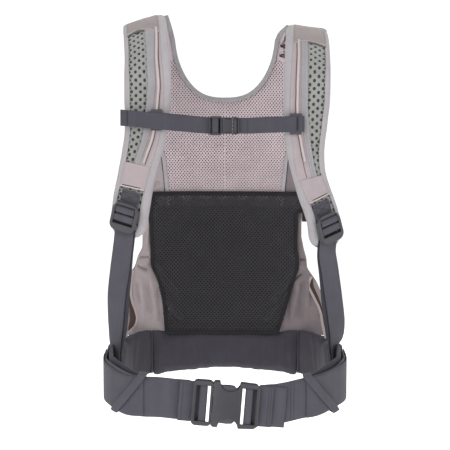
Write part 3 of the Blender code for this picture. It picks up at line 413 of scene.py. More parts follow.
def round_section(radius, steps):
    turns = [2 * math.pi * i / steps for i in range(steps)]
    return [(radius * math.cos(turn), radius * math.sin(turn)) for turn in turns]


def smooth_path(points, steps=8):
    """Points along a Catmull-Rom curve through the given points."""
    knots = [Vector(p) for p in points]
    knots = [knots[0] * 2 - knots[1]] + knots + [knots[-1] * 2 - knots[-2]]
    line = []
    for a, b, c, d in zip(knots, knots[1:], knots[2:], knots[3:]):
        for step in range(steps):
            t = step / steps
            line.append(0.5 * (2 * b + (c - a) * t + (2 * a - 5 * b + 4 * c - d) * t ** 2
                               + (3 * b - a - 3 * c + d) * t ** 3))
    line.append(knots[-2])
    return line


class Path:
    """A line that is read by its share of the whole length, from 0 to 1."""

    def __init__(self, points):
        self.points = [Vector(p) for p in points]
        self.reach = [0.0]
        for a, b in zip(self.points, self.points[1:]):
            self.reach.append(self.reach[-1] + (b - a).length)
        self.length = self.reach[-1]

    def at(self, share):
        goal = min(max(share, 0.0), 1.0) * self.length
        for i in range(1, len(self.points)):
            if self.reach[i] >= goal:
                part = (goal - self.reach[i - 1]) / (self.reach[i] - self.reach[i - 1])
                return self.points[i - 1].lerp(self.points[i], part)
        return self.points[-1].copy()

    def along(self, share, step=0.004):
        return (self.at(share + step) - self.at(share - step)).normalized()

    def share_where(self, test):
        for i in range(1001):
            if test(self.at(i / 1000)):
                return i / 1000
        return 1.0


def blend_table(table, value):
    """Reads a table of (value, result) pairs, with straight lines between them."""
    if value <= table[0][0]:
        return table[0][1]
    for (a, x), (b, y) in zip(table, table[1:]):
        if value <= b:
            return x + (y - x) * (value - a) / (b - a)
    return table[-1][1]


def ease(value, low, high):
    """0 below low, 1 above high, smooth between."""
    t = min(max((value - low) / (high - low), 0.0), 1.0)
    return t * t * (3 - 2 * t)


def creases(x, z, folds):
    """Height of soft folds at a place; each fold is x1, z1, x2, z2, width, height."""
    total = 0.0
    for x1, z1, x2, z2, width, height in folds:
        dx, dz = x2 - x1, z2 - z1
        span = dx * dx + dz * dz
        t = ((x - x1) * dx + (z - z1) * dz) / span
        near = min(max(t, 0.0), 1.0)
        away = math.hypot(x - x1 - dx * near, z - z1 - dz * near)
        fade = min(1.0, 4 * (1 - abs(2 * near - 1))) * 0.7 + 0.3
        total += height * fade * math.exp(-(away / width) ** 2)
    return total


def ripple(x, z, size, height, seed=0.0):
    """Small irregular unevenness of cloth."""
    return height * noise.noise(Vector((x / size, z / size, seed)))


def net(name, place, low, high, pitch, hole, inside, look, thickness=0.0, shift=(0, 0), fine=8):
    """Knitted net: staggered cells with oval holes over a flat region.

    place(a, b) maps flat coordinates to space, and inside(a, b) says which cells are kept.
    """
    form = bmesh.new()
    layer = form.loops.layers.uv.new("cloth")
    flat, known = {}, {}
    half_a, half_b = pitch[0] / 2, pitch[1] / 2

    def vert(key, a, b):
        if key not in known:
            made = form.verts.new(place(a, b))
            known[key] = made
            flat[made] = (a, b)
        return known[key]

    columns = int((high[0] - low[0]) / half_a) + 1
    rows = int((high[1] - low[1]) / half_b) + 1
    corners = ((4, 0), (0, 4), (-4, 0), (0, -4), (4, 0))
    part = fine // 4
    ring = [(a[0] + (b[0] - a[0]) * k / part, a[1] + (b[1] - a[1]) * k / part)
            for a, b in zip(corners, corners[1:]) for k in range(part)]
    for i in range(columns):
        for j in range(rows):
            if (i + j) % 2:
                continue
            a = low[0] + shift[0] + i * half_a
            b = low[1] + shift[1] + j * half_b
            if not inside(a, b):
                continue
            outer, inner = [], []
            for number, (s, t) in enumerate(ring):
                outer.append(vert((4 * i + s, 4 * j + t), a + s * half_a / 4, b + t * half_b / 4))
                turn = 2 * math.pi / fine * number
                inner.append(vert((i, j, number), a + hole[0] * math.cos(turn), b + hole[1] * math.sin(turn)))
            for k in range(fine):
                n = (k + 1) % fine
                form.faces.new((outer[k], outer[n], inner[n], inner[k]))
    set_uv(form, layer, flat)
    item = add_piece(name, form, look, flip_check=False)
    return solidify(item, thickness) if thickness else item


def stitches(name, line, look="thread", pitch=3.2 * MM, length=2.2 * MM, radius=0.32 * MM):
    """A row of sewn stitches along a line of (point, normal)."""
    path = Path([p for p, _ in line])
    form = bmesh.new()
    count = max(int(path.length / pitch), 1)
    for number in range(count):
        share = (number + 0.5) / count
        spot = path.at(share)
        along = path.along(share, 0.5 * length / path.length)
        nearest = min(range(len(line)), key=lambda i: (line[i][0] - spot).length)
        up = line[nearest][1]
        side = along.cross(up).normalized()
        up = side.cross(along).normalized()
        rings = []
        for t, size in ((-0.5, 0.35), (-0.25, 0.95), (0.25, 0.95), (0.5, 0.35)):
            middle = spot + along * (t * length) + up * (radius * 0.3)
            rings.append([form.verts.new(middle + (side * math.cos(a) + up * math.sin(a)) * radius * size)
                          for a in (0, 1.05, 2.09, 3.14, 4.19, 5.24)])
        for first, second in zip(rings, rings[1:]):
            for i in range(6):
                n = (i + 1) % 6
                form.faces.new((first[i], first[n], second[n], second[i]))
        form.faces.new(reversed(rings[0]))
        form.faces.new(rings[-1])
    return add_piece(name, form, look)


def show(item, body, *nodes, slot=None, sheet=None, held="stretched", padded=None):
    """Attaches a finished piece to its body and hides the CAD parts that it replaces."""
    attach(item, body)
    if nodes:
        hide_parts(*nodes)
    if sheet:
        sheet[2] if len(sheet) > 2 else None
    return item


# ---------------------------------------------------------------- body panel
PANEL_BOTTOM, PANEL_BULGE = 28 * MM, 28 * MM
NECK_LOW, PANEL_TOP, NECK_HALF = 330 * MM, 405 * MM, 66.5 * MM
SHELL_DEPTH, LINING_DEPTH, MESH_DEPTH = 7.5 * MM, 1.5 * MM, -2.6 * MM
NECK_TAPE_DEPTH, LOOP_DEPTH = -1.6 * MM, -4.0 * MM
TAPE = 5 * MM
HEM_Z = 20 * MM                 # the cloth's hems are tucked behind the belt's padding
SHELL_EDGE = mm({
    "left": [
        (20, 134), (36, 134), (51, 133), (70, 131), (82, 129), (96, 125), (104, 121.5), (109, 118),
        (122, 114), (133, 108.2), (160, 108), (210, 107), (300, 116), (360, 122), (420, 128),
    ],
    "right": [
        (20, 134), (36, 134), (51, 132.5), (70, 128), (82, 123), (89, 120), (96, 115), (106, 107.8),
        (119, 106.8), (130, 103.6), (146, 100.3), (165, 100.3), (180, 102), (215, 106), (300, 116),
        (360, 122), (420, 128),
    ],
})
WING_EDGE = mm({
    "left": [
        (20, 128), (30, 119.5), (36, 116.2), (43, 115.2), (52, 117), (62, 120.6), (72, 122.5), (82, 123.2),
        (96, 121.8), (104, 120), (109, 117.4), (122, 113.6), (133, 108), (160, 107.8), (210, 106.8),
        (300, 116),
    ],
    "right": [
        (20, 130), (36, 126.6), (44.5, 125.8), (56, 122.6), (67, 117.2), (76, 112.7), (83, 109.6),
        (92, 111.2), (96, 113), (106, 107.4), (119, 106.5), (130, 103.3), (146, 100), (165, 100),
        (180, 101.8), (215, 105.8), (300, 116),
    ],
})
LINING_EDGE = mm([(20, 76), (210, 78), (260, 83), (300, 100), (340, 112), (420, 120)])
SEAT_LEFT = mm([(26, 78.5), (65, 82), (93, 89), (111, 96.5), (160, 98.5), (176, 100), (206, 95.5)])
SEAT_RIGHT = mm([
    (23, 70), (52, 80.6), (74, 85.2), (90, 90.4), (96, 93), (111, 96.8), (131, 94.8), (144, 94.1),
    (157, 95.2), (179.5, 95.7), (181.2, 105), (206, 107.5),
])
SIDES = ((-1, "left"), (1, "right"))


def panel_depth(x, z):
    """Y of the panel's lining: it swells away from the wearer and leans in at the top and sides."""
    rise = min(max((z - PANEL_BOTTOM) / (NECK_LOW - PANEL_BOTTOM), 0.0), 1.0)
    swell = PANEL_BULGE * math.sin(math.pi * rise) ** 2 * (1 - (x / 0.16) ** 2)
    side = 0.035 * max(abs(x) / 0.125 - 0.68, 0.0) ** 1.5 * (1 - rise)
    lean = 0.012 * max((z - 0.36) / 0.06, 0.0) ** 2
    return 0.0045 + swell - side - lean


def on_panel(x, z, depth):
    return Vector((x, panel_depth(x, z) + depth, z))


def neckline(x):
    """Height of the panel's top edge: a deep U between the two top corners."""
    reach = abs(x) / NECK_HALF
    if reach >= 1:
        return PANEL_TOP
    return NECK_LOW + (PANEL_TOP - NECK_LOW) * (1 - (1 - reach ** 2.6) ** 0.62)


def panel_top(x):
    """Height of the cloth's own top edge, which stays under the neck tape at the corners."""
    return neckline(x) - 9 * MM * ease(abs(x), 0.058, 0.0665) * (1 - ease(abs(x), 0.0685, 0.076))


def panel_place(edges, shrink, depth):
    """Maps u and v from 0 to 1 to the panel between its side edges, the belt and the neckline."""
    def place(u, v):
        side = 2 * u - 1
        side = math.copysign(abs(side) ** 0.9, side)
        guess = HEM_Z + v * (PANEL_TOP - HEM_Z)
        for _ in range(5):
            edge = edges["left" if side < 0 else "right"] if isinstance(edges, dict) else edges
            x = side * (blend_table(edge, guess) - shrink)
            top = panel_top(x) - shrink
            guess = HEM_Z + v * (top - HEM_Z)
        return on_panel(x, guess, depth(x, guess)), (x, guess)

    return place


def flat_line(points, depth, steps=6):
    """A smooth line on the panel through (x, z) points."""
    line = smooth_path([(x, 0, z) for x, z in points], steps)
    return [on_panel(p.x, p.z, depth) for p in line]


def strip_stations(line, up=None):
    """Stations for a strip on the panel: across lies on the panel, up is towards the wearer."""
    path = Path(line)
    stations = []
    for i, place in enumerate(line):
        along = (line[min(i + 1, len(line) - 1)] - line[max(i - 1, 0)]).normalized()
        face = Vector((0, -1, 0)) if up is None else up
        across = along.cross(face).normalized()
        stations.append((place, across, across.cross(along).normalized()))
    return stations


def tape_section(width, rise, low=0.0, groove=0.0):
    """A folded tape: a low rounded band, with a sewn groove down its middle if asked for."""
    half = width / 2
    shape = [(-half, low), (-half, rise * 0.45), (-half * 0.8, rise * 0.9), (-half * 0.45, rise)]
    shape += [(0, rise - groove)]
    shape += [(half * 0.45, rise), (half * 0.8, rise * 0.9), (half, rise * 0.45), (half, low)]
    return shape


SHELL_SEAMS = mm([
    [(50, 34), (46, 120), (52, 220), (70, 330), (78, 398)],
    [(100, 300), (106, 350), (110, 398)],
])
SHELL_CROSS_SEAM = mm([(-105, 150), (-60, 132), (0, 126), (60, 132), (97, 148)])
# each fold is the two ends of its line, its width and its height
SEAT_FOLDS = mm([
    (-97, 115, -60, 70, 3.5, 1.6), (-93, 98, -70, 56, 3, -1.2), (-90, 85, -55, 40, 3.5, 1.4),
    (-83, 65, -60, 35, 2.8, -1.2), (94, 108, 60, 62, 3.5, 1.6), (90, 92, 65, 50, 3, -1.2),
    (85, 76, 50, 38, 3.5, 1.4), (70, 150, 95, 115, 4.5, 1),
])
WING_FOLDS = mm({
    "left": [
        (113, 120, 98.5, 120.6, 1.5, -3.4), (116, 110, 101, 103, 1.8, -3.4), (98, 96, 90, 45, 3.6, 2.2),
        (111, 93, 106, 42, 3.4, 2), (103, 90, 98.5, 40, 2.8, -1.8), (88, 80, 85, 33, 2.5, -1.6),
        (100, 113, 112, 110, 2.8, 2.2), (117, 88, 112, 60, 2.2, -1.4), (86, 220, 94, 212, 2, -1.6),
        (100, 170, 102, 135, 2.2, 1.2),
    ],
    "right": [
        (96.5, 117.2, 107.5, 116.2, 1.5, -3.4), (89, 90.5, 101, 98.5, 1.8, -3.4), (96, 88, 88, 40, 3.4, 2),
        (108, 93, 106, 40, 3.6, 2.2), (101.5, 90, 97, 38, 2.6, -1.8), (114, 86, 111, 55, 2.2, -1.4),
        (84, 70, 83, 33, 2.4, -1.2), (96, 108, 106, 107.5, 2.8, 2.2), (90, 220, 100, 208, 2.2, -1.4),
    ],
})
LEG_LINES = mm({
    "left": [
        (119.6, 104.5), (121.8, 96), (123.2, 82), (122.6, 72), (120.5, 62), (117, 52), (115, 43), (116, 36),
        (119, 29.8),
    ],
    "right": [
        (113.4, 96.2), (111.2, 92), (109.7, 87), (109.5, 83), (112.7, 76), (117.4, 67), (122.7, 56),
        (125.6, 47),
    ],
})
LEG_ENDS = mm({
    "left": [(123, -12, 27.5), (127.2, -21, 24.5), (131, -30, 18), (132.2, -36, 12)],
    "right": [(126.4, -10, 40), (127, -20, 35), (128.6, -30, 29), (130, -36, 23)],
})


def build_shell():
    """The outer canvas: smooth, softly uneven, with sewn seams on the side away from the wearer."""
    def depth(x, z):
        uneven = ripple(x, z * 0.6, 0.035, 0.0016, 3.0) + ripple(x, z, 0.014, 0.0006, 9.0)
        edge = ease(abs(x), 0.095, 0.118) * ease(0.115 - z, 0.0, 0.03)
        return SHELL_DEPTH + uneven + edge * ripple(x * 0.5, z, 0.010, 0.0020, 5.0)

    place = panel_place(SHELL_EDGE, 0.0, depth)
    item = cloth("outer_canvas", place, 96, 110, 2.2 * MM, "shell")
    show(item, "carrier", "panel_shell", slot="taupe_fabric", sheet=(0.26, 0.38, 0.072))

    seams = []
    for side in (-1, 1):
        seams += [[(side * x, z) for x, z in line] for line in SHELL_SEAMS]
    seams.append(SHELL_CROSS_SEAM)
    for number, line in enumerate(seams):
        spine = flat_line(line, SHELL_DEPTH + 1.3 * MM, 10)
        stations = strip_stations(spine, Vector((0, 1, 0)))
        seam = tape_section(4.5 * MM, 1.0 * MM, -0.8 * MM, 0.3 * MM)
        tape = sweep(f"shell_seam_{number}", stations, seam, "shell")
        show(tape, "carrier", slot="taupe_fabric")
        for shift in (-3.4 * MM, 3.4 * MM):
            line = [(place + across * shift + up * 0.2 * MM, up) for place, across, up in stations]
            show(stitches(f"shell_stitches_{number}_{'ab'[shift > 0]}", line), "carrier")
    across = [NECK_HALF * math.sin(math.pi / 2 * i / 14) for i in range(-14, 15)]
    line = [on_panel(x, neckline(x) - 6 * MM, SHELL_DEPTH + 1.2 * MM) for x in across]
    show(stitches("shell_stitches_neck", [(p, Vector((0, 1, 0))) for p in line]), "carrier")


NECK_ENDS = mm({
    "left": [(-69, -4, 415), (-72.2, -12, 427), (-74.7, -20, 435.7)],
    "right": [(70, -8, 412), (75.6, -24, 418.5), (79.6, -43, 423)],
})


def build_lining():
    """The pink spacer mesh with its darker underside, centre seam and grey tapes."""
    def inside(x, z):
        return abs(x) < blend_table(LINING_EDGE, z) - 3.5 * MM and z < panel_top(x) - 3 * MM

    item = net("lining_net", lambda x, z: on_panel(x, z, LINING_DEPTH - 0.9 * MM),
               (-0.1170, 0.1960), (0.1170, 0.4030), (3.9 * MM, 4.9 * MM), (0.78 * MM, 1.02 * MM), inside,
               "spacer", 0.9 * MM)
    show(item, "carrier", "panel_lining", slot="spacer_mesh", sheet=(0.225, 0.206, 0.0262))

    place = panel_place(LINING_EDGE, 4.6 * MM, lambda x, z: LINING_DEPTH + 0.9 * MM)
    item = cloth("lining_underside", place, 48, 64, 0.8 * MM, "spacer_back")
    show(item, "carrier", "panel_lining", slot="spacer_mesh", sheet=(0.225, 0.375, 0.0600))

    line = flat_line(mm([(0.8, 325.5), (0, 290), (-0.6, 250), (0, 204.5)]), LINING_DEPTH - 1.3 * MM)
    seam = tape_section(1.7 * MM, 0.5 * MM, -0.3 * MM, 0.25 * MM)
    show(sweep("lining_seam", strip_stations(line), seam, "spacer"), "carrier", slot="spacer_mesh")

    across = [NECK_HALF * math.sin(math.pi / 2 * i / 24) for i in range(25)]
    half = [(x, neckline(x) - TAPE / 2 * (1 - 0.35 * ease(x, 0.055, 0.066))) for x in across
            if neckline(x) < PANEL_TOP - 0.017]
    half += [(0.0652, PANEL_TOP - 0.0115), (0.0664, PANEL_TOP - 0.0015)]
    line = [(-x, z) for x, z in reversed(half[1:])] + half
    spine = [on_panel(p.x, p.z, NECK_TAPE_DEPTH) for p in smooth_path([(x, 0, z) for x, z in line], 3)]
    ends = {}
    for side, label in SIDES:
        ends[label] = smooth_path([spine[0 if side < 0 else -1], *NECK_ENDS[label]], 4)
    spine = [*reversed(ends["left"][1:]), *spine, *ends["right"][1:]]
    for side, label in SIDES:
        edge = [on_panel(side * 0.0660, 0.380, NECK_TAPE_DEPTH), *ends[label]]

        def corner(u, v, side=side, edge=edge):
            spot = Path(edge).at(v)
            reach = u * (10 * MM * (1 - v) + 0.8 * MM)
            return Vector((spot.x + side * reach, spot.y + 2.0 * MM, spot.z - 0.5 * reach)), (reach, v * 0.06)

        item = cloth(f"neck_corner_{label}", corner, 5, 24, 1.2 * MM, "spacer")
        show(item, "carrier", slot="spacer_mesh")
    stations = strip_stations(spine)
    tape = sweep("neck_tape", stations, tape_section(5.6 * MM, 1.1 * MM, -1.0 * MM), "binding")
    show(tape, "carrier", "neckline_binding", slot="grey_binding")
    rows = [(p + up * 1.0 * MM + across * 1.5 * MM, up) for p, across, up in stations]
    row = stitches("neck_stitches", rows, "thread", 2.6 * MM, 1.7 * MM, 0.26 * MM)
    show(row, "carrier")

    for side, label in SIDES:
        edge = [(side * (blend_table(LINING_EDGE, z) - TAPE / 2), z)
                for z in (0.186, 0.205, 0.230, 0.252, 0.272)]
        stations = strip_stations(flat_line(edge, LINING_DEPTH - 1.2 * MM))
        tape = sweep(f"lining_tape_{label}", stations, tape_section(5.4 * MM, 1.1 * MM, -1.4 * MM), "tape")
        show(tape, "carrier", f"lining_binding_{label}", slot="grey_binding")
        edge = [(x + side * 3.1 * MM, z) for x, z in edge]
        stations = strip_stations(flat_line(edge, LINING_DEPTH - 0.9 * MM))
        show(sweep(f"lining_seam_{label}", stations, round_section(0.55 * MM, 6), "dark_thread"), "carrier")


def build_wings():
    """Wrinkled taupe side wings, the leg openings' tapes and a dark sheet inside each opening that paints its
    shade.
    """
    for side, label in SIDES:
        folds = WING_FOLDS[label]

        def place(u, v, side=side, folds=folds, label=label):
            z = HEM_Z + v * (0.252 - HEM_Z)
            low = blend_table(LINING_EDGE, z) + 1.0 * MM - 10 * MM * (1 - ease(z, 0.10, 0.19))
            high = blend_table(WING_EDGE[label], z) - 0.8 * MM
            x = low + (high - low) * u
            calm = 0.3 + 0.7 * ease(z, 0.30, 0.12)
            rise = 1.5 * creases(x, z, folds) + ripple(x, z * 0.5, 0.011, 0.0018, side * 2.0) * calm
            rise += ripple(x, z, 0.005, 0.0004, side * 7.0)
            return on_panel(side * x, z, LINING_DEPTH - rise), (side * x, z)

        item = cloth(f"wing_cloth_{label}", place, 36, 150, 1.5 * MM, "taupe" if side < 0 else "taupe_shade")
        show(item, "carrier", f"side_wing_{label}", slot="taupe_fabric", sheet=(0.045, 0.236, 0.0085),
             held="gathered")

        points = [(side * x, z) for x, z in LEG_LINES[label]]
        spine = flat_line(points, LINING_DEPTH - 1.0 * MM, 5)
        spine = spine[:-1] + smooth_path([spine[-1], *[(side * x, y, z) for x, y, z in LEG_ENDS[label]]], 4)
        item = sweep(f"leg_tape_{label}", strip_stations(spine),
                     tape_section(3.2 * MM, 1.2 * MM, -1.2 * MM, 0.5 * MM), "leg")
        show(item, "carrier", f"leg_binding_{label}", slot="pink_fabric")

        # a dark sheet between the leg tape and the shell: painted shade inside the leg opening
        def opening_shade(u, v, side=side, label=label):
            z = 0.022 + v * (LEG_LINES[label][0][1] - 0.022)
            low = blend_table([(b, a) for a, b in reversed(LEG_LINES[label])], z) - 2 * MM
            high = low + 2 * MM + 0.5 * (blend_table(SHELL_EDGE[label], z) - low - 2 * MM)
            x = low + (high - low) * u
            return on_panel(side * x, z, LINING_DEPTH + 1.6 * MM + 2.2 * MM * u), (x, z)

        item = cloth(f"leg_opening_shade_{label}", opening_shade, 8, 40, 1.0 * MM, "opening_shade")
        show(item, "carrier", slot="taupe_fabric", sheet=(0.016, 0.082, 0.0008), held="gathered")


def build_seat():
    """The black mesh seat: a see-through net, doubled below its upper band, with solid hems."""
    def wave(x, z):
        fold = 1.6 * creases(x, z, SEAT_FOLDS) + ripple(x, z, 0.040, 0.0012, 1.0)
        return MESH_DEPTH - fold - 4.2 * MM * ease(0.036 - z, 0.0, 0.012)

    def edges(z):
        return -blend_table(SEAT_LEFT, z), blend_table(SEAT_RIGHT, z)

    def inside(x, z):
        left, right = edges(z)
        return left + 1.2 * MM < x < right - 1.2 * MM and z < 0.2015

    item = net("seat_net", lambda x, z: on_panel(x, z, wave(x, z)), (-0.1010, 0.0240), (0.1080, 0.2030),
               (4.6 * MM, 5.0 * MM), (1.02 * MM, 1.22 * MM), inside, "net", 0.8 * MM)
    show(item, "carrier", "mesh_seat", slot="black_mesh", sheet=(0.198, 0.175, 0.0310))

    def under(x, z):
        left, right = edges(z)
        if not inside(x, z):
            return False
        return z < 0.1855 or x < left + 11 * MM or x > right - 13 * MM

    item = net("seat_under_net", lambda x, z: on_panel(x, z, wave(x, z) + 1.1 * MM),
               (-0.1010, 0.0240), (0.1080, 0.2030), (4.6 * MM, 5.0 * MM), (0.55 * MM, 0.62 * MM), under,
               "net_back", 0.5 * MM, (1.1 * MM, 1.2 * MM))
    show(item, "carrier", "mesh_seat", slot="black_mesh", sheet=(0.198, 0.175, 0.0290))

    def strip(name, line, width, rise, *nodes):
        spine = [on_panel(p.x, p.z, wave(p.x, p.z) - 0.5 * MM)
                 for p in smooth_path([(x, 0, z) for x, z in line], 10)]
        made = sweep(name, strip_stations(spine), tape_section(width, rise, -0.6 * MM), "hem")
        show(made, "carrier", *nodes, slot="black_mesh")

    strip("seat_hem", [(-0.0950, 0.2040), (-0.05, 0.2035), (0.0, 0.2030), (0.05, 0.2032), (0.0970, 0.2036)],
          5.6 * MM, 0.8 * MM, "mesh_seat_hem")
    for side, label, table in ((-1, "left", SEAT_LEFT), (1, "right", SEAT_RIGHT)):
        line = [(side * (blend_table(table, z) - 2.2 * MM), z)
                for z in (0.0245, 0.065, 0.093, 0.111, 0.135, 0.160, 0.178)]
        line += [(-0.0950, 0.190), (-0.0940, 0.203)] if side < 0 else [(0.0990, 0.1812), (0.1050, 0.1820)]
        strip(f"seat_edge_{label}", line, 5.0 * MM, 0.7 * MM)
    strip("seat_foot", [(-0.0780, 0.0262), (-0.055, 0.0248), (-0.03, 0.0256), (0.0, 0.0240), (0.03, 0.0252),
                        (0.055, 0.0242), (0.0710, 0.0262)], 4.6 * MM, 0.8 * MM)
    strip("seat_tab", [(0.1040, 0.2010), (0.1042, 0.185), (0.1038, 0.1675)], 6.4 * MM, 0.8 * MM,
          "mesh_seat_tab")

    for number, z in enumerate((0.3975, 0.3850), start=1):
        start = 0.0720 - 0.0012 * number
        loop = [(start, z), (0.0745, z + 0.0008), (0.0775, z - 0.0006), (0.0800, z - 0.0022),
                (0.0785, z - 0.0034), (0.0750, z - 0.0020), (start + 0.2 * MM, z - 0.0012)]
        item = sweep(f"cord_loop_{number}", strip_stations(flat_line(loop, LOOP_DEPTH, 4)),
                     round_section(0.85 * MM, 8), "hem")
        show(item, "carrier", f"hood_loop_{number}", slot="black_mesh")


# ---------------------------------------------------------------- padded waist belt
PAD_TOP, PAD_LOW_CENTER, PAD_LOW_SIDE = 27 * MM, -30 * MM, -36 * MM
PAD_SEAM_X = 95 * MM
PAD_PLAN = mm([(0, 6), (35, 6), (70, 6), (95, 1.5), (115, -12), (129, -35), (136, -70)])
INFLATE_PRESSURE, INFLATE_FRAMES, INFLATE_CAP, INFLATE_VOXEL = 4.0, 20, 2.6 * MM, 5 * MM


def pad_line(side):
    """Middle line of the belt's pad in plan, from the middle to one end."""
    flat = [(side * x, y, 0) for x, y in PAD_PLAN[:3]]
    bend = smooth_path([(side * x, y, 0) for x, y in PAD_PLAN[2:]], 8)
    return Path(flat[:-1] + bend)


def inflate(item):
    """Blows a closed form up a little as cloth, and moves no point further than the cap."""
    remesh = item.modifiers.new("even", "REMESH")
    remesh.mode = "VOXEL"
    remesh.voxel_size = INFLATE_VOXEL
    settle(item)
    before = [v.co.copy() for v in item.data.vertices]
    change = item.modifiers.new("cloth", "CLOTH")
    change.settings.use_pressure = True
    change.settings.uniform_pressure_force = INFLATE_PRESSURE
    change.settings.effector_weights.gravity = 0.0
    change.settings.quality = 5
    change.point_cache.frame_start = 1
    change.point_cache.frame_end = INFLATE_FRAMES
    for step in range(1, INFLATE_FRAMES + 1):
        bpy.context.scene.frame_set(step)
    settle(item)
    bpy.context.scene.frame_set(1)
    for vert, rest in zip(item.data.vertices, before):
        moved = vert.co - rest
        if moved.length > INFLATE_CAP:
            vert.co = rest + moved.normalized() * INFLATE_CAP
    change = item.modifiers.new("smooth", "SUBSURF")
    change.levels = change.render_levels = 1
    return settle(item)


def push_along_normals(item, height):
    """Moves each point along its normal by height(point, normal)."""
    moves = [(v.co + v.normal * height(v.co, v.normal)) for v in item.data.vertices]
    for vert, spot in zip(item.data.vertices, moves):
        vert.co = spot
    item.data.update()


def build_belt():
    left, right = pad_line(-1), pad_line(1)
    seam = right.share_where(lambda p: p.x > PAD_SEAM_X)

    def low_edge(x):
        return PAD_LOW_CENTER + (PAD_LOW_SIDE - PAD_LOW_CENTER) * min(abs(x) / 0.075, 1.0) ** 2

    def center(u, v):
        spot = 2 * u - 1
        middle = (left if spot < 0 else right).at(abs(spot) * (seam + 0.010))
        low = low_edge(middle.x) + 1.5 * MM
        z = low + (PAD_TOP + 0.8 * MM - low) * v
        return Vector((middle.x, middle.y, z)), (middle.x, z)

    pads = [("belt_cushion_center", "belt_pad_center", center, 60, 9.6 * MM)]
    for path, label in ((left, "left"), (right, "right")):
        def wing(u, v, path=path):
            share = seam + 0.002 + (0.99 - seam - 0.002) * u
            middle = path.at(share)
            round_off = 0.020 * max(u - 0.80, 0.0) ** 2 / 0.04
            top = PAD_TOP + 0.8 * MM - 0.009 * u ** 2 - round_off * 0.6
            low = PAD_LOW_SIDE + 1.5 * MM + 0.004 * u ** 2 + round_off * 0.4
            return Vector((middle.x, middle.y, low + (top - low) * v)), (u, v)

        pads.append((f"belt_cushion_{label}", f"belt_pad_{label}", wing, 24, 7.6 * MM))

    for name, node, place, columns, thick in pads:
        item = cloth(name, place, columns, 16, thick, "belt")
        inflate(item)

        def wrinkle(spot, normal):
            reach = math.hypot(spot.x, spot.y * 0.7)
            folds = noise.noise(Vector((reach / 0.0075, spot.z / 0.055, 1.7)))
            wide = noise.noise(Vector((reach / 0.022, spot.z / 0.080, 4.1)))
            fine = noise.noise(Vector((reach / 0.0035, spot.z / 0.020, 8.3)))
            return 0.0007 * folds + 0.0010 * wide + 0.0002 * fine

        push_along_normals(item, wrinkle)
        show(item, "carrier", node, slot="belt_fabric", padded=0.7)

    # piping seams between the three cushions
    for side, label in SIDES:
        spot = (left if side < 0 else right).at(seam + 0.004)
        spine = [Vector((spot.x, spot.y - 4.2 * MM, -0.030 + 0.054 * i / 10)) for i in range(11)]
        item = sweep(f"belt_joint_{label}", strip_stations(spine), round_section(1.3 * MM, 8), "fold")
        show(item, "carrier", slot="belt_fabric")


# ---------------------------------------------------------------- waist webbing
WAIST_WEB, WAIST_WEB_THICK = 50 * MM, 1.5 * MM
LOOP_HALF_WIDTH, CORNER_RADIUS, FRONT_Y = 147 * MM, 52 * MM, -199 * MM
WAIST_BUCKLE_Z, WAIST_BUCKLE_TILT, WEB_BEHIND = -24.5 * MM, math.radians(4.5), 7.2 * MM
CORNER_X = LOOP_HALF_WIDTH - CORNER_RADIUS
WEB_Y = FRONT_Y + WEB_BEHIND
CORNER_Y = WEB_Y + CORNER_RADIUS
WEB_SIDE_Z, WEB_END_X = -3.0 * MM, 42 * MM
FOLD_OUT, FOLD_START, FOLD_END = 2.1 * MM, 0.44, 0.825


def belt_plan(side):
    """Middle line of the waist webbing: along the pad's outer face, round the side, to the front."""
    rear = [(0.078, 0.0140), (0.100, 0.0085), (0.1225, -0.0090), (0.1385, -0.0360), (0.1470, -0.0680),
            (LOOP_HALF_WIDTH, -0.100), (LOOP_HALF_WIDTH, CORNER_Y)]
    line = smooth_path([(side * x, y, 0) for x, y in rear], 8)
    for i in range(1, 21):
        turn = -math.pi / 2 * i / 20
        line.append(Vector((side * (CORNER_X + CORNER_RADIUS * math.cos(turn)),
                            CORNER_Y + CORNER_RADIUS * math.sin(turn), 0)))
    for i in range(1, 9):
        x = CORNER_X + (WEB_END_X - CORNER_X) * i / 8
        line.append(Vector((side * x, WEB_Y, 0)))
    return Path(line)


def front_height(side, x):
    if side < 0:
        return WAIST_BUCKLE_Z + abs(x) * math.tan(WAIST_BUCKLE_TILT)
    return blend_table([(0.040, -0.0277), (0.060, -0.0262), (0.100, -0.0185), (0.125, -0.0150)], abs(x))


def belt_height(side, spot):
    if spot.y > CORNER_Y:
        return WEB_SIDE_Z
    around = min(max((CORNER_Y - spot.y) / CORNER_RADIUS, 0.0), 1.0)
    return WEB_SIDE_Z + (front_height(side, spot.x) - WEB_SIDE_Z) * around ** 2


def belt_stations(side, start, end, rows, lift, out=0.0):
    """Stations of a strip that follows the waist webbing between two shares of its length."""
    path = belt_plan(side)
    stations = []
    for i in range(rows + 1):
        share = start + (end - start) * i / rows
        spot = path.at(share)
        along = path.along(share)
        normal = Vector((-along.y, along.x, 0)) * side
        extra_out, extra_rise = lift(share)
        place = Vector((spot.x, spot.y, belt_height(side, spot) + extra_rise))
        place += normal * (out + extra_out)
        stations.append((place, UP * -side, normal))
    return stations


def corner_point(side, angle, rise, out):
    """A place on the round corner: the angle runs from the front (0) to the side (90 degrees)."""
    turn = math.radians(angle)
    radius = CORNER_RADIUS + out
    spot = Vector((side * (CORNER_X + radius * math.sin(turn)), CORNER_Y - radius * math.cos(turn), 0))
    if angle < 0:
        spot = Vector((side * (CORNER_X + CORNER_RADIUS * turn), WEB_Y - out, 0))
    base = belt_height(side, Vector((spot.x, min(spot.y, CORNER_Y), 0)))
    return Vector((spot.x, spot.y, base + rise))


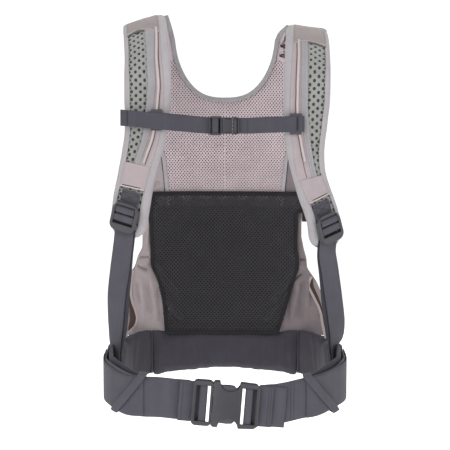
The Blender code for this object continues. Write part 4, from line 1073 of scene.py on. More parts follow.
def build_waist_webbing():
    for side, label in SIDES:
        length = belt_plan(side).length

        def wave(share, side=side):
            calm = ease(share, 0.02, 0.2) * ease(0.98 - share, 0.0, 0.12)
            return 0.0, calm * 0.0007 * math.sin(share * 31 + side)

        stations = belt_stations(side, 0.0, 1.0, 110, wave)
        item = sweep(f"waist_band_{label}", stations, web_section(WAIST_WEB, WAIST_WEB_THICK), "webbing")
        if side < 0:
            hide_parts("waist_webbing_left")
            height = belt_height(-1, Vector((-0.07, WEB_Y, 0)))
            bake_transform(item)
        else:
            show(item, "carrier", "waist_webbing_right", slot="webbing", sheet=(WAIST_WEB, length))

        # the folded tail on the outside, which hangs a little lower towards its end
        def sag(share, side=side):
            part = (share - FOLD_START) / (FOLD_END - FOLD_START)
            if side < 0:
                drop = 3.4 * MM * math.sin(math.pi * ease(part, 0.30, 1.1))
                drop += 0.8 * MM * math.sin(part * 17)
            else:
                drop = 1.2 * MM * math.sin(math.pi * ease(part, 0.1, 1.0))
                drop += 0.8 * MM * math.sin(part * 15 + 1)
            return 0.5 * MM * math.sin(math.pi * part), -drop * ease(part, 0.0, 0.2)

        stations = belt_stations(side, FOLD_START, FOLD_END, 60, sag, FOLD_OUT)
        item = sweep(f"waist_fold_{label}", stations, web_section(WAIST_WEB - 1 * MM, 1.3 * MM), "webbing")
        show(item, "carrier", f"waist_tail_{label}", slot="webbing",
             sheet=(WAIST_WEB - 1 * MM, length * (FOLD_END - FOLD_START)))

        # the keeper: narrow webbing that wraps both layers, slanting over the corner
        half = WAIST_WEB / 2 + 3.2 * MM
        inner, outer = -2.4 * MM, 4.6 * MM
        corners = [(inner, -half), (outer, -half), (outer, half), (inner, half)]
        shape = []
        for (o1, r1), (o2, r2) in zip(corners, corners[1:] + corners[:1]):
            pieces = 24 if abs(r2 - r1) > half else 3
            shape += [(o1 + (o2 - o1) * i / pieces, r1 + (r2 - r1) * i / pieces) for i in range(pieces)]
        form = bmesh.new()
        layer = form.loops.layers.uv.new("cloth")
        rings = []
        for out, rise in shape:
            lean = 25 - 21 * rise / half
            swell = 0.9 * MM * (1 - (rise / half) ** 2) * (1 if out > 2 * MM else -0.2)
            ring = []
            for i in range(7):
                turn = lean + (i / 6 - 0.5) * 11.0
                crown = 0.5 * MM * (1 - (i / 3 - 1) ** 2) * (1 if out > 2 * MM else 0)
                ring.append(form.verts.new(corner_point(side, turn, rise, out + swell + crown)))
            rings.append(ring)
        for j, (a, b) in enumerate(zip(rings, rings[1:] + rings[:1])):
            for i in range(6):
                face = form.faces.new((a[i], a[i + 1], b[i + 1], b[i]))
                for loop, spot in zip(face.loops, ((i, j), (i + 1, j), (i + 1, j + 1), (i, j + 1))):
                    loop[layer].uv = (spot[0] * 1.7 * MM, spot[1] * 2.2 * MM)
        bmesh.ops.recalc_face_normals(form, faces=form.faces)
        item = add_piece(f"keeper_band_{label}", form, "webbing", flip_check=False)
        solidify(item, 1.1 * MM)
        show(item, f"keeper_{label}", f"keeper_{label}", slot="webbing", sheet=(10 * MM, 0.124))


# ---------------------------------------------------------------- shoulder straps
STRAP_LINES = mm({
    "left": [
        (103.6, 4, 411), (103, -5, 417), (101.8, -20, 422.2), (100.5, -42, 423.5), (98.5, -72, 415),
        (95.5, -100, 393.5), (94.5, -115, 370), (94.5, -117.9, 343.7), (95, -120, 317.5),
        (97.5, -122.1, 291.2), (103.5, -124.2, 265), (109.5, -124, 238), (114.5, -122.5, 211),
        (118, -119.5, 186), (120, -116.5, 165),
    ],
    "right": [
        (103.6, 2.8, 409.8), (103.6, -6.5, 412.2), (103.4, -22, 413.6), (103, -46, 412.5),
        (102.2, -76, 403.5), (101.2, -101, 386), (100.4, -114.8, 370), (100, -117.9, 343.7),
        (98.5, -120, 317.5), (97.8, -122.1, 291.2), (99.2, -124, 268), (103, -124.2, 245),
        (109, -123.5, 224), (116, -122, 205), (121, -120, 187), (125, -116.5, 152),
    ],
})
# half widths by the distance from the pad's lower end
STRAP_HALVES = mm({
    "left": [
        (0, 23), (50, 23.5), (75, 22.5), (100, 23.2), (145, 26.5), (170, 28), (220, 28.5), (300, 27),
        (400, 26.2),
    ],
    "right": [
        (0, 22.5), (62, 21.5), (86, 20), (98, 20), (122, 22.2), (152, 26.2), (181, 28.2), (230, 28.2),
        (300, 26.2), (400, 25.5),
    ],
})
# the pad rolls so that its outer edge lies lower on the shoulder, and further back at its lower end
SHOULDER_ROLL = {"left": math.radians(17), "right": math.radians(10.5)}
LOWER_ROLL = {"left": math.radians(18), "right": math.radians(32)}
YOKE_START, YOKE_Z = 0.02, {"left": 0.4120, "right": 0.3990}
# how far the yoke's hem lies from its arch, by the share of its width from its outer side
HEM_SHIFT = {
    "left": [(0, -4.5 * MM), (0.2, -5.2 * MM), (0.45, -4.2 * MM), (0.7, -0.5 * MM), (0.85, 3.0 * MM),
             (1, 6.0 * MM)],
    "right": [(0, 0.0), (0.75, 0.0), (1, 3.0 * MM)],
}
PATCH_Z = mm({"left": (258.5, 229.5), "right": (242, 215.5)})
LOCK_Z = mm({"left": 203, "right": 189.3})
LOCK_ACROSS = {"left": -1.0 * MM, "right": 2.6 * MM}
# middle line of the webbing below each lock, and its turn about its length in degrees by height
LOWER_LINES = mm({
    "left": [
        (125, -126.2, 164), (130.1, -119.5, 127), (134.9, -112.5, 92), (136.8, -105, 55), (138, -98.5, 19),
        (135.5, -95, -20),
    ],
    "right": [
        (126.2, -126.2, 148), (130, -119.5, 125), (134.8, -112.5, 93), (139.6, -106, 59),
        (140.3, -101.5, 38), (137.5, -98.5, 23.5), (136.5, -96.5, 5), (135.5, -95, -20),
    ],
})
LOWER_TWIST = {
    "left": [(0.019, 60), (0.055, 40), (0.092, 25), (0.127, 16), (0.160, 18)],
    "right": [(0.011, 82), (0.0235, 69), (0.033, 52), (0.042, 43), (0.059, 34), (0.093, 30), (0.145, 32)],
}
SECOND_SHIFT = mm([(20, 6), (45, 10.5), (75, 10.5), (115, 8.5), (150, 6.5)])
STRAIGHT_Y, STRAIGHT_Z, STRAP_SLOPE = -0.1200, 0.3175, 0.08
OUTER_TAPE, INNER_TAPE = 6 * MM, 8 * MM
SHOULDER_WEB = 25 * MM
RAIL_HEIGHT, RAIL_TOP_Z, RAIL_LOW_Z = 10.5 * MM, 350 * MM, 262 * MM
LAYER = 7.9 * MM                # the layers' middle over the strap's middle surface
# how far in from the strap's middle line the window, the pale band and the piping lie, by height
WINDOW_EDGE = mm({
    "left": [(262, -5.4), (290, -3.2), (325, -1.6), (362, 1.2), (385, 2), (413, 1.2)],
    "right": [(262, -8), (288, -6), (330, -1.2), (355, -0.6), (395, 1.5)],
})
BAND_EDGE = mm({
    "left": [(262, 1.6), (290, 5), (325, 7.8), (362, 10.8), (390, 12.5), (413, 15)],
    "right": [(262, -1.8), (288, 1.5), (330, 7.2), (355, 8), (395, 9.5)],
})
PIPING = mm({
    "left": [(262, 5.2), (290, 8.8), (325, 11.7), (350, 13.5), (385, 15), (413, 16.5)],
    "right": [(262, 2.4), (288, 5.6), (305, 9), (330, 11.2), (355, 11.8), (395, 13)],
})


class Strap:
    """A shoulder strap: side -1 is the left of the view, +1 the right, which hangs a little lower."""

    def __init__(self, side, label):
        self.side = side
        self.label = label
        self.path = Path(smooth_path([(side * x, y, z) for x, y, z in STRAP_LINES[label]], 12))
        self.length = self.path.length
        self.flat = [self.share_at(z) for z in (0.385, 0.350, 0.262, 0.205)]

    def share_at(self, z):
        return self.path.share_where(lambda p: p.y < -0.05 and p.z <= z)

    def roll(self, share):
        """How far the pad is rolled about its length: not at all where the piping runs."""
        first, second, third, fourth = self.flat
        upper = SHOULDER_ROLL[self.label] * ease(share, 0.0, 0.10) * (1 - ease(share, first, second))
        return upper + LOWER_ROLL[self.label] * ease(share, third, fourth)

    def frame(self, share):
        """The strap's middle, and its directions towards the wearer's middle and off its face."""
        along = self.path.along(share)
        face = Vector((0, along.z, -along.y)).normalized()
        inner = along.cross(face)
        if inner.x * self.side > 0:
            inner = -inner
        turn = self.roll(share)
        c, s = math.cos(turn), math.sin(turn)
        return self.path.at(share), inner * c + face * s, face * c - inner * s

    def point(self, share, across, height):
        place, inner, face = self.frame(share)
        return place + inner * across + face * height

    def half_width(self, share):
        left = (1 - share) * self.length
        half = blend_table(STRAP_HALVES[self.label], left)
        if left < 0.022:
            half *= max(math.sqrt(max(1 - (1 - left / 0.022) ** 2, 0.0)), 0.30)
        return half

    def tape_edge(self, share):
        """Where the inner tape begins: the tape narrows beside the lock's anchor webbing."""
        half = self.half_width(share)
        anchor = LOCK_ACROSS[self.label] + SHOULDER_WEB / 2 + 0.3 * MM
        return half - min(INNER_TAPE, half - anchor)

    def sweep(self, name, start, end, rows, section, look):
        """Carries section(share), a list of (across, height), along the strap."""
        shares = [start + (end - start) * i / rows for i in range(rows + 1)]
        stations = [self.frame(share) for share in shares]
        return sweep(name, stations, lambda t: section(start + (end - start) * t), look)

    def band(self, name, start, end, low, high, height, thick, rows, look, crown=0.0):
        """A layer on the strap's face: low and high are functions of the share."""
        columns = 6

        def section(share):
            a, b = low(share), high(share)
            xs = [a + (b - a) * i / columns for i in range(columns + 1)]
            rise = [height + crown * (1 - (2 * i / columns - 1) ** 2) for i in range(columns + 1)]
            edge = 0.35 * thick
            under = [(x, h - thick / 2) for x, h in zip(xs, rise)]
            over = [(x, h + thick / 2) for x, h in zip(xs, rise)]
            return [(a - edge, height), *under, (b + edge, height), *reversed(over)]

        return self.sweep(name, start, end, rows, section, look)

    def line(self, start, end, steps, across, height):
        """A row of (point, normal) on the strap, for stitches."""
        row = []
        for i in range(steps + 1):
            share = start + (end - start) * i / steps
            place, inner, face = self.frame(share)
            row.append((place + inner * across(share) + face * height, face))
        return row


def pad_curve(half, top, low, angle):
    """A point of the pad's rounded section: angle 0 is its inner edge, 90 degrees its face."""
    c, s = math.cos(angle), math.sin(angle)
    return (half * math.copysign(abs(c) ** 0.5, c), (top if s > 0 else low) * math.copysign(abs(s) ** 0.5, s))


def pad_band(half, top, low, start, end, inner, outer):
    """A thin closed band round the pad's section between two angles."""
    def offset(angle, distance):
        a = Vector(pad_curve(half, top, low, angle))
        ahead = Vector(pad_curve(half, top, low, angle + 0.02))
        behind = Vector(pad_curve(half, top, low, angle - 0.02))
        step = (ahead - behind).normalized()
        return a.x + step.y * distance, a.y - step.x * distance

    angles = [start + (end - start) * i / 16 for i in range(17)]
    return [offset(t, outer) for t in angles] + [offset(t, inner) for t in reversed(angles)]


def angle_of(half, distance):
    """The section's angle at which the face is a distance in from the pad's edge."""
    return math.acos(min(max((half - distance) / half, 0.0), 1.0) ** 2)


PAD_FACE, PAD_BACK = 5.9 * MM, 6.0 * MM


def build_strap(strap):
    label, half = strap.label, strap.half_width
    tie = dict(slot="pad_mesh")

    # the padding, with a soft quilted back
    def body(share):
        wide = half(share) - 0.9 * MM
        return [pad_curve(wide, PAD_FACE, PAD_BACK, 2 * math.pi * i / 40) for i in range(40)]

    item = strap.sweep(f"pad_body_{label}", 0.0, 0.998, 90, body, "pad_cloth")
    show(item, "carrier", f"strap_pad_{label}", padded=0.8, **tie)

    # grosgrain tapes that wrap both edges, wider on the face
    def outer(share):
        w = half(share) - 0.9 * MM
        reach = angle_of(w, OUTER_TAPE)
        return pad_band(w, PAD_FACE + 1.2 * MM, PAD_BACK, math.pi - reach, math.pi + reach * 0.9, 0.25 * MM,
                        1.25 * MM)

    def inner(share):
        w = half(share) - 0.9 * MM
        reach = angle_of(w, half(share) - strap.tape_edge(share))
        return pad_band(w, PAD_FACE + 1.2 * MM, PAD_BACK, -reach * 0.8, reach, 0.25 * MM, 1.25 * MM)

    item = strap.sweep(f"pad_tape_outer_{label}", 0.01, 0.985, 90, outer, "tape")
    show(item, "carrier", f"strap_tape_outer_{label}", slot="grey_binding")
    item = strap.sweep(f"pad_tape_inner_{label}", 0.01, 0.985, 90, inner, "tape")
    show(item, "carrier", f"strap_tape_inner_{label}", slot="grey_binding")

    yoke_end, patch_start, patch_end = (strap.share_at(z) for z in (YOKE_Z[label], *PATCH_Z[label]))

    def low_edge(share):
        return -half(share) + OUTER_TAPE + 0.2 * MM

    def high_edge(share):
        return strap.tape_edge(share) - 0.2 * MM

    def by_height(table, share):
        return blend_table(table[label], strap.path.at(share).z)

    def window_edge(share):
        return by_height(WINDOW_EDGE, share)

    def band_edge(share):
        return by_height(BAND_EDGE, share)

    def hem(across):
        """The yoke's hem is an arch: it reaches further down at both sides, mostly the outer one."""
        part = (across - low_edge(yoke_end)) / (high_edge(yoke_end) - low_edge(yoke_end))
        arch = 0.010 * (1 - 2.2 * min(part, 0.4545)) ** 2 + 0.035 * max(part - 0.5, 0.0) ** 1.5
        return yoke_end + arch + blend_table(HEM_SHIFT[label], part) / strap.length

    # the perforated mesh over its dark underside
    item = strap.band(f"pad_under_{label}", 0.02, 0.975, low_edge, high_edge, 6.15 * MM, 0.3 * MM, 60,
                      "pad_under")
    show(item, "carrier", f"strap_pad_{label}", **tie)
    for name, first, last, high in (
            ("upper", yoke_end - 0.008, patch_start + 0.01, lambda s: window_edge(s) + 3.0 * MM),
            ("lower", patch_end - 0.01, 0.965, lambda s: high_edge(s) + 1.0 * MM)):
        def place(a, b):
            share = b / strap.length
            w = half(share) - 0.9 * MM
            a = min(max(a, 0.4 * MM - w), w - 0.4 * MM)
            return strap.point(share, a, PAD_FACE * (1 - (a / w) ** 4) ** 0.25 + 0.75 * MM)

        def inside(a, b, first=first, last=last, high=high):
            share = b / strap.length
            return first < share < last and low_edge(share) - 1.2 * MM < a < high(share)

        item = net(f"pad_net_{name}_{label}", place, (-0.030, first * strap.length),
                   (0.024, last * strap.length), (10.8 * MM, 9.4 * MM), (1.75 * MM, 2.1 * MM), inside,
                   "pad_net", 0.7 * MM, fine=16)
        show(item, "carrier", f"strap_pad_{label}", **tie)

    # the yoke over the shoulder, ending in an arched hem
    columns = 16
    form = bmesh.new()
    layer = form.loops.layers.uv.new("cloth")
    known, flat = {}, {}
    for i in range(columns + 1):
        for j in range(41):
            last = hem(low_edge(yoke_end) + (high_edge(yoke_end) - low_edge(yoke_end)) * i / columns)
            share = YOKE_START + (last - YOKE_START) * j / 40
            low, high = low_edge(share), high_edge(share)
            across = low + (high - low) * i / columns
            crown = 0.5 * MM * (1 - (2 * i / columns - 1) ** 2)
            down = share * strap.length
            pucker = 0.25 * MM * noise.noise(Vector((across / 0.006, down / 0.011, strap.side)))
            vert = form.verts.new(strap.point(share, across, LAYER + 0.1 * MM + crown + pucker))
            known[i, j] = vert
            flat[vert] = (across, down)
    for i in range(columns):
        for j in range(40):
            form.faces.new((known[i, j], known[i + 1, j], known[i + 1, j + 1], known[i, j + 1]))
    set_uv(form, layer, flat)
    item = solidify(add_piece(f"pad_yoke_{label}", form, "yoke"), 1.1 * MM)
    show(item, "carrier", f"strap_yoke_{label}", slot="taupe_fabric",
         sheet=(0.038, strap.length * (yoke_end - YOKE_START)))
    curve = []
    for i in range(21):
        across = low_edge(yoke_end) + (high_edge(yoke_end) - low_edge(yoke_end)) * i / 20
        curve.append(strap.point(hem(across) - 0.002, across, LAYER + 0.3 * MM))
    face = strap.frame(yoke_end)[2]
    fold = tape_section(1.5 * MM, 0.9 * MM, -0.7 * MM)
    item = sweep(f"yoke_hem_{label}", strip_stations(curve, face), fold, "yoke_edge")
    show(item, "carrier", slot="taupe_fabric")
    ahead = (strap.frame(yoke_end + 0.01)[0] - strap.frame(yoke_end)[0]).normalized()
    curve = [spot + ahead * 1.6 * MM - face * 0.9 * MM for spot in curve]
    fold = tape_section(2.6 * MM, 0.8 * MM, -0.5 * MM)
    item = sweep(f"yoke_shade_{label}", strip_stations(curve, face), fold, "mesh_shade")
    show(item, "carrier", slot="pad_mesh")

    # the pale band beside the window, the pink strip and a dark strip beside its piping that paints the shade
    # of the gap
    first, last = yoke_end - 0.004, patch_start + 0.004
    long = strap.length * (last - first)
    item = strap.band(f"slider_band_{label}", first, last, window_edge, band_edge, LAYER, 1.1 * MM, 70,
                      "band", 0.15 * MM)
    show(item, "carrier", f"slider_panel_{label}", slot="grey_binding", sheet=(0.0102, long))
    item = strap.band(f"slider_strip_{label}", first, last, lambda s: band_edge(s) + 0.3 * MM, high_edge,
                      LAYER, 0.9 * MM, 70, "pink")
    show(item, "carrier", f"slider_panel_{label}", slot="pink_fabric", sheet=(0.0112, long))
    for row, across in enumerate((lambda s: window_edge(s) + 1.6 * MM, lambda s: band_edge(s) - 1.4 * MM)):
        item = stitches(f"slider_stitches_{row}_{label}",
                        strap.line(first, last, 60, across, LAYER + 0.65 * MM), "thread", 2.6 * MM, 1.6 * MM,
                        0.26 * MM)
        show(item, "carrier")

    def gap(share):
        near = by_height(PIPING, share) + 1.9 * MM
        return [(near, 8.1 * MM), (near + 0.9 * MM, 8.1 * MM), (near + 0.9 * MM, 8.5 * MM), (near, 8.5 * MM)]

    item = strap.sweep(f"slider_slit_{label}", yoke_end + 0.02, patch_start - 0.004, 60, gap, "soft_slit")
    show(item, "carrier")

    # the piping that the chest strap's clip slides on, on its sewn flange
    low_share, high_share = strap.share_at(RAIL_TOP_Z), strap.share_at(RAIL_LOW_Z)

    def piping(share):
        across = by_height(PIPING, share)
        rise = RAIL_HEIGHT - 1.2 * MM * (1 - ease(share, yoke_end, low_share))
        return [(across + 1.55 * MM * math.cos(t * math.pi / 6), rise + 1.55 * MM * math.sin(t * math.pi / 6))
                for t in range(12)]

    def flange(share):
        across = by_height(PIPING, share)
        return [(across - 0.3 * MM, 8.2 * MM), (across + 0.3 * MM, 8.2 * MM), (across + 0.3 * MM, 9.0 * MM),
                (across - 0.3 * MM, 9.0 * MM)]

    item = strap.sweep(f"piping_{label}", yoke_end + 0.004, high_share, 80, piping, "piping")
    show(item, "carrier", f"slider_rail_{label}", slot="pink_fabric")
    item = strap.sweep(f"piping_flange_{label}", low_share, high_share, 50, flange, "pink")
    show(item, "carrier", slot="pink_fabric")

    # the patch, its stitching, its hem and a dark strip above the hem that paints the shade of the slit
    item = strap.band(f"pad_patch_{label}", patch_start, patch_end, low_edge, high_edge, LAYER + 0.1 * MM,
                      1.1 * MM, 30, "pink", 0.5 * MM)
    show(item, "carrier", f"strap_patch_{label}", slot="pink_fabric",
         sheet=(0.0385, strap.length * (patch_end - patch_start)))
    for name, share, look, width, rise in (("slit", patch_end - 0.0052, "slit", 1.3 * MM, 0.95 * MM),
                                           ("hem", patch_end - 0.0010, "piping", 2.0 * MM, 1.5 * MM)):
        a, b = low_edge(share), high_edge(share)
        if name == "slit":
            a, b = a + 3.0 * MM, b - 5.0 * MM
        row = [strap.point(share, a + (b - a) * i / 12, LAYER + 0.4 * MM * math.sin(math.pi * i / 12))
               for i in range(13)]
        item = sweep(f"patch_{name}_{label}", strip_stations(row, strap.frame(share)[2]),
                     tape_section(width, rise, 0.2 * MM), look)
        show(item, "carrier")
    share = patch_start + 0.004
    a, b = low_edge(share), high_edge(share)
    row = [(strap.point(share, a + (b - a) * i / 12, LAYER + 0.85 * MM), strap.frame(share)[2])
           for i in range(13)]
    show(stitches(f"patch_stitches_{label}", row, "thread", 2.4 * MM, 1.6 * MM, 0.28 * MM), "carrier")

    # back of the pad: a quilting seam down the middle
    item = strap.sweep(f"pad_back_seam_{label}", 0.02, 0.95, 60,
                       lambda s: [(-1.2 * MM, -PAD_BACK + 0.2 * MM), (-1.2 * MM, -PAD_BACK - 0.7 * MM),
                                  (1.2 * MM, -PAD_BACK - 0.7 * MM), (1.2 * MM, -PAD_BACK + 0.2 * MM)], "tape")
    show(item, "carrier", slot="grey_binding")
    build_shoulder_joint(strap)
    build_lock(strap)


def build_shoulder_joint(strap):
    """The band of outer cloth that joins the panel to the strap's rear end."""
    side, label = strap.side, strap.label
    wide = strap.half_width(0.03) - 0.6 * MM
    middle = strap.path.at(0.012).x

    def hug(share, across):
        part = min(abs(across) / (wide + 0.4 * MM), 0.985)
        return strap.point(share, across, PAD_FACE * (1 - part ** 4) ** 0.25 + 2.3 * MM)

    def spread(u, v):
        across = (1 - 2 * u) * wide
        inner = max(across, 0) / wide
        low = [on_panel(middle - side * (across + inner * more * MM), z, SHELL_DEPTH + 2.2 * MM)
               for z, more in ((0.376, 2.0), (0.388, 4.0), (0.400, 5.6))]
        high = [hug(share, across) for share in (0.014, 0.028, 0.042, 0.056)]
        path = Path(smooth_path([*low, low[-1].lerp(high[0], 0.5) + Vector((0, 1.5 * MM, 0)), *high], 4))
        return path.at(v), (across, v * path.length)

    item = cloth(f"shoulder_joint_{label}", spread, 20, 36, 1.2 * MM, "shell")
    show(item, "carrier", slot="taupe_fabric", sheet=(2 * wide, 0.060))


LOCK_HEIGHT, LOCK_LEAN = 14.3 * MM, math.radians(5)


def build_lock(strap):
    """Anchor webbing with its sewn box and cross, the lock's own webbing, and the webbing to the belt."""
    side, label = strap.side, strap.label
    share = strap.share_at(LOCK_Z[label])
    face = strap.frame(share)[2]
    across = (-strap.path.along(share)).cross(face).normalized()
    place = strap.point(share, LOCK_ACROSS[label], LOCK_HEIGHT)
    turn = Matrix((across, -face, across.cross(-face))).transposed()
    across, back_way, up = (turn @ Matrix.Rotation(-side * LOCK_LEAN, 3, "Y")).col
    face = -back_way

    def spot(x, y, z):
        return place + across * x - face * y + up * z

    def strip(name, line, width, thick, look, body, *nodes, **more):
        path = smooth_path([spot(0, y, z) for z, y in line], 4)
        stations = []
        for i, p in enumerate(path):
            ahead = (path[min(i + 1, len(path) - 1)] - path[max(i - 1, 0)]).normalized()
            stations.append((p, across, across.cross(ahead).normalized()))
        item = sweep(name, stations, web_section(width, thick), look)
        return show(item, body, *nodes, **more)

    radius, top = 4.1 * MM, 24 * MM
    back = LOCK_HEIGHT - 7.0 * MM - 0.3 * MM - 0.6 * MM
    around = [(-radius * math.sin(math.radians(t)), radius * math.cos(math.radians(t)))
              for t in range(0, 261, 20)]
    line = [(top, back), (8.0 * MM, back)] + around
    line += [(4.4 * MM, 1.9 * MM), (5.6 * MM, 3.4 * MM), (8.5 * MM, 4.4 * MM), (top, 4.9 * MM)]
    strip(f"anchor_band_{label}", line, SHOULDER_WEB - 1 * MM, 1.0 * MM, "webbing", "carrier",
          f"anchor_webbing_{label}", slot="webbing", sheet=(SHOULDER_WEB - 1 * MM, 0.056))
    box = [(-10.5, 10.5), (10.5, 10.5), (10.5, 21.5), (-10.5, 21.5), (-10.5, 10.5), (10.5, 21.5),
           (10.5, 10.5), (-10.5, 21.5)]
    for number, (a, b) in enumerate(zip(box, box[1:])):
        row = []
        for i in range(9):
            x = (a[0] + (b[0] - a[0]) * i / 8) * MM
            z = (a[1] + (b[1] - a[1]) * i / 8) * MM
            row.append((spot(x, 3.75 * MM + 0.5 * MM * (z - 8.5 * MM) / (top - 8.5 * MM), z), face))
        show(stitches(f"anchor_stitches_{number}_{label}", row, "dark_thread", 2.0 * MM, 1.7 * MM, 0.30 * MM),
             "carrier")

    wrap = mm([(-14.8, 3.0), (-14.8, 0.4), (-13.4, -2.4), (-12.6, -3.2), (-9.9, -3.35), (-7.2, -3.2),
               (-6.5, -2.2), (-6.4, 2.4)])
    strip(f"lock_band_{label}", wrap, SHOULDER_WEB, 1.0 * MM, "webbing",
          f"lock_{label}", f"lock_webbing_{label}", slot="webbing", sheet=(SHOULDER_WEB, 0.0195))

    # webbing from the lock down to the belt, with its second layer folded behind the inner edge
    low = LOCK_Z[label] - 0.2000
    shift = LOCK_ACROSS[label] - 1.5 * MM
    starts = [strap.point(strap.share_at(z + low), shift, 9.6 * MM) for z in (0.191, 0.178)]
    rest = [(side * x, y, z) for x, y, z in LOWER_LINES[label]]
    path = Path(smooth_path([*starts, *rest], 8))

    def stations(shift_in, shift_back, first, last, rows=90):
        made = []
        for i in range(rows + 1):
            v = first + (last - first) * i / rows
            ahead = path.along(v)
            spot_z = path.at(v).z
            turn = math.radians(blend_table(LOWER_TWIST[label], spot_z))
            wide = Vector((math.cos(turn), side * math.sin(turn), 0))
            wide = (wide - ahead * wide.dot(ahead)).normalized()
            out = wide.cross(ahead).normalized()
            if out.y > 0:
                out = -out
            inward = blend_table(shift_in, spot_z) if shift_in else 0.0
            made.append((path.at(v) - wide * (side * inward) - out * shift_back, wide, out))
        return made

    top_place = path.at(0.05)
    # the second layer takes the darker fold webbing: painted shade, as it lies behind the long band
    for name, line, width, long, look in (
            ("long", stations(None, 0, 0.0, 1.0), SHOULDER_WEB, path.length, "webbing"),
            ("second", stations(SECOND_SHIFT, 2.2 * MM, 0.06, 0.93), 15 * MM, path.length * 0.87, "fold")):
        item = sweep(f"{name}_band_{label}", line, web_section(width, 1.1 * MM), look)
        if name == "long":
            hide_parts(f"lower_webbing_{label}")
        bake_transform(item)


# ---------------------------------------------------------------- chest strap
CHEST_Z, CHEST_WEB, CHEST_BUCKLE_HEIGHT, CLIP_FACE = 305 * MM, 20 * MM, 15.6 * MM, 13.0 * MM


def chest_frame():
    """The chest strap's axes: x across, y towards the panel, z up, leaning with the straps."""
    lean = math.atan(STRAP_SLOPE)
    y = STRAIGHT_Y + (CHEST_Z - STRAIGHT_Z) * STRAP_SLOPE
    return Matrix.Translation((0, y, CHEST_Z)) @ Matrix.Rotation(-lean, 4, "X")


def ribbon(name, line, width, thick, look, frame_of):
    """Webbing along a line of local (x, y, z) points, its width along the frame's z axis."""
    points = smooth_path(line, 5)
    turn = frame_of.to_3x3()
    wide = (turn @ UP).normalized()
    stations = []
    for i, p in enumerate(points):
        ahead = points[min(i + 1, len(points) - 1)] - points[max(i - 1, 0)]
        ahead = (turn @ Vector((ahead.x, ahead.y, 0))).normalized()
        stations.append((frame_of @ p, wide, wide.cross(ahead).normalized()))
    return sweep(name, stations, web_section(width, thick), look)


def build_chest_strap():
    frame_of = chest_frame()
    face = -(frame_of.to_3x3() @ Vector((0, 1, 0)))
    thick = 1.1 * MM
    web = CLIP_FACE + 0.3 * MM + thick / 2
    line = [(-0.0935, -web, 0.0075), (-0.0820, -web, 0.0064), (-0.0740, -web, 0.0055),
            (-0.0620, -0.0112, 0.0044), (-0.0500, -0.0103, 0.0032), (-0.0340, -0.0103, 0.0015),
            (-0.0215, -0.0103, 0.0005), (0.0080, -0.0103, 0.0)]
    item = ribbon("chest_band_left", line, CHEST_WEB, thick, "chest_web", frame_of)
    show(item, "chest_strap", "chest_webbing_left", slot="webbing", sheet=(CHEST_WEB, 0.102))

    over = web + thick + 0.4 * MM
    bar = -CHEST_BUCKLE_HEIGHT
    tail = [(-0.1270, -over, 0.0098), (-0.1000, -over - 0.0004, 0.0072), (-0.0700, -over, 0.0044),
            (-0.0350, -over, 0.0012), (-0.0205, bar + 0.7 * MM, 0.0), (-0.0175, bar + 0.5 * MM, 0.0),
            (-0.0160, bar - 0.8 * MM, 0.0), (-0.0152, bar - 2.2 * MM, 0.0), (-0.0145, bar - 2.6 * MM, 0.0),
            (-0.0096, bar - 2.6 * MM, 0.0), (-0.0084, bar - 1.9 * MM, 0.0), (-0.0082, bar, 0.0),
            (-0.0086, bar + 2.2 * MM, 0.0), (-0.0103, bar + 2.7 * MM, 0.0), (-0.0160, bar + 2.8 * MM, 0.0)]
    item = ribbon("chest_long_tail", tail, CHEST_WEB - 0.2 * MM, 0.9 * MM, "chest_web", frame_of)
    show(item, "chest_plug", "chest_tail", slot="webbing", sheet=(CHEST_WEB - 0.2 * MM, 0.132))
    # the tail's end is folded over and sewn
    end = [(-0.1268, -over - 1.2 * MM, 0.00978), (-0.1225, -over - 1.25 * MM, 0.0094),
           (-0.1185, -over - 1.15 * MM, 0.0090)]
    item = ribbon("chest_tail_fold", end, CHEST_WEB - 0.2 * MM, 0.9 * MM, "chest_web", frame_of)
    show(item, "chest_plug", slot="webbing")
    sew = [(frame_of @ Vector((-0.1190, -over - 1.75 * MM, 0.0090 + rise * MM)), face)
           for rise in (-9.4, -5, 0, 5, 9.4)]
    show(stitches("chest_tail_stitches", sew, "dark_thread", 2.0 * MM, 1.8 * MM, 0.42 * MM), "chest_plug")

    right = [(0.0965, -web, 0.0022), (0.0850, -web, 0.0019), (0.0720, -web, 0.0017),
             (0.0560, -0.0130, 0.0012), (0.0300, -0.0140, 0.0), (0.0205, bar + 0.9 * MM, 0.0),
             (0.0153, bar + 0.7 * MM, 0.0), (0.0143, bar - 1.0 * MM, 0.0), (0.0137, bar - 2.6 * MM, 0.0),
             (0.0110, bar - 2.6 * MM, 0.0), (0.0102, bar - 1.4 * MM, 0.0), (0.0102, bar + 1.4 * MM, 0.0),
             (0.0112, bar + 2.7 * MM, 0.0), (0.0170, bar + 2.9 * MM, 0.0), (0.0262, bar + 2.8 * MM, 0.0)]
    item = ribbon("chest_band_right", right, CHEST_WEB - 0.4 * MM, 0.9 * MM, "chest_web", frame_of)
    show(item, "chest_strap", "chest_webbing_right", slot="webbing", sheet=(CHEST_WEB - 0.4 * MM, 0.118))

    sew = [(frame_of @ Vector((0.0272, -0.0158, rise * MM)), face) for rise in (-9.2, -4, 0, 4, 9.2)]
    show(stitches("chest_loop_stitches", sew, "dark_thread", 2.4 * MM, 1.7 * MM, 0.42 * MM), "chest_strap")
    zigzag = []
    for i in range(23):
        spot = (0.0878 + (0.9 * MM if i % 2 else -0.9 * MM), -web - thick / 2 - 0.15 * MM,
                0.0022 + (i / 22 - 0.5) * 17.5 * MM)
        zigzag.append((frame_of @ Vector(spot), face))
    show(stitches("chest_bar_tack", zigzag, "dark_thread", 1.3 * MM, 1.5 * MM, 0.5 * MM), "chest_strap")


# ---------------------------------------------------------------- belt tips, waist buckle's webbing and its stitches, buckles' plastic
def waist_frame():
    return Matrix.Translation((0, FRONT_Y, WAIST_BUCKLE_Z)) @ Matrix.Rotation(WAIST_BUCKLE_TILT, 4, "Y")


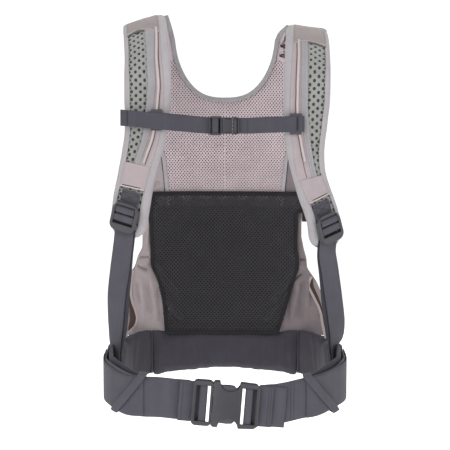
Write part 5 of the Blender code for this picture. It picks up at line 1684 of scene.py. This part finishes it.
def build_belt_tips():
    """The cushions' thin ends, which run round inside the webbing to its front corners."""
    for side, label in SIDES:
        path = belt_plan(side)
        first = path.share_where(lambda p: p.y < -0.085)
        last = path.share_where(lambda p, side=side: p.y < -0.15 and p.x * side < 0.068)

        def place(u, v, side=side, path=path, first=first, last=last):
            share = first + (last - first) * v
            spot, along = path.at(share), path.along(share)
            normal = Vector((-along.y, along.x, 0)) * side
            middle = belt_height(side, spot)
            top = middle + WAIST_WEB / 2 + 5.0 * MM * (1 - ease(v, 0.55, 1.0)) - 5.0 * MM * ease(v, 0.6, 1.0)
            low = middle - WAIST_WEB / 2 + 3.0 * MM + 26 * MM * ease(v, 0.45, 1.0)
            z = low + (top - low) * u
            wrinkle = 0.8 * MM * noise.noise(Vector((v * 14, z / 0.02, side))) * math.sin(math.pi * v)
            out = -5.6 * MM + wrinkle
            return Vector((spot.x, spot.y, z)) + normal * out, (z, share * path.length)

        item = cloth(f"belt_tip_{label}", place, 10, 50, 2.6 * MM, "belt")
        show(item, "carrier", slot="belt_fabric")


def build_waist_loops():
    frame_of = waist_frame()
    face = -(frame_of.to_3x3() @ Vector((0, 1, 0)))
    width = WAIST_WEB - 0.4 * MM
    loop = [(-56.0, 1.4), (-49.0, 1.35), (-42.0, 1.3), (-37.0, 1.6), (-34.5, 2.2), (-32.0, 2.2), (-30.9, 1.2),
            (-30.6, -1.0), (-30.5, -3.1), (-29.4, -4.1), (-27.8, -4.1), (-24.6, -4.0), (-23.2, -3.2),
            (-22.6, 0.0), (-23.2, 3.6), (-26.0, 4.4), (-34.0, 4.4), (-45.0, 4.4), (-56.0, 4.4)]
    points = [(x * MM, y * MM, 0) for x, y in loop]
    item = ribbon("plug_band", points, width, 1.3 * MM, "webbing", frame_of)
    show(item, "waist_plug", "waist_plug_loop", slot="webbing", sheet=(width, 0.072))
    loop[-1] = (-72.0, 4.4)         # the socket's loop is sewn further out
    points = [((1.4 - x) * MM, y * MM, 0) for x, y in loop]
    item = ribbon("socket_band", points, width, 1.3 * MM, "webbing", frame_of)
    show(item, "carrier", "waist_socket_loop", slot="webbing", sheet=(width, 0.088))
    # a thin dark plate in the join between plug and socket: painted shade of the gap
    wide = (frame_of.to_3x3() @ Vector((1, 0, 0))).normalized()
    seam = [(frame_of @ Vector((-15.45 * MM, 0, rise * MM)), wide, face)
            for rise in (-26.5, -13, 0, 13, 26.5)]
    plate = [(x * MM, y * MM) for x, y in ((-0.3, -4.4), (0.3, -4.4), (0.3, 4.4), (-0.3, 4.4))]
    item = sweep("buckle_gap_shade", seam, plate, "slit")
    show(item, "waist_plug", slot="buckle_plastic")
    def sew(name, place, normal, body="carrier"):
        line = [(place(rise * MM), normal) for rise in range(-24, 25, 4)]
        show(stitches(name, line, "dark_thread", 2.6 * MM, 1.9 * MM, 0.30 * MM), body)

    for name, x, y, body in (("socket_stitches_0", 52.0, 0.55, "carrier"),
                             ("socket_stitches_1", 55.0, 0.55, "carrier"),
                             ("plug_stitches", -52.0, 0.6, "waist_plug")):
        sew(name, lambda rise, x=x, y=y: frame_of @ Vector((x * MM, y * MM, rise)), face, body)
    path = belt_plan(1)
    for number, share in enumerate((0.872, 0.884)):
        spot = path.at(share)
        spot = Vector((spot.x, spot.y - 1.0 * MM, belt_height(1, spot)))
        sew(f"waist_stitches_{number}", lambda rise, spot=spot: spot + UP * rise, Vector((0, -1, 0)))


def dress_hardware():
    """The moulded buckles, latches, clips and locks keep their CAD shape and get their plastic."""
    for name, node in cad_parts.items():
        if not node.hide_render:
            for place in node.material_slots:
                place.material = LOOKS["lock_plastic" if name.startswith("ladder_lock") else "plastic"]


# ---------------------------------------------------------------- build all
stage()
build_shell()
build_lining()
build_wings()
build_seat()
build_belt()
build_waist_webbing()
for strap_side, strap_label in SIDES:
    build_strap(Strap(strap_side, strap_label))
build_chest_strap()
build_waist_loops()
build_belt_tips()
dress_hardware()
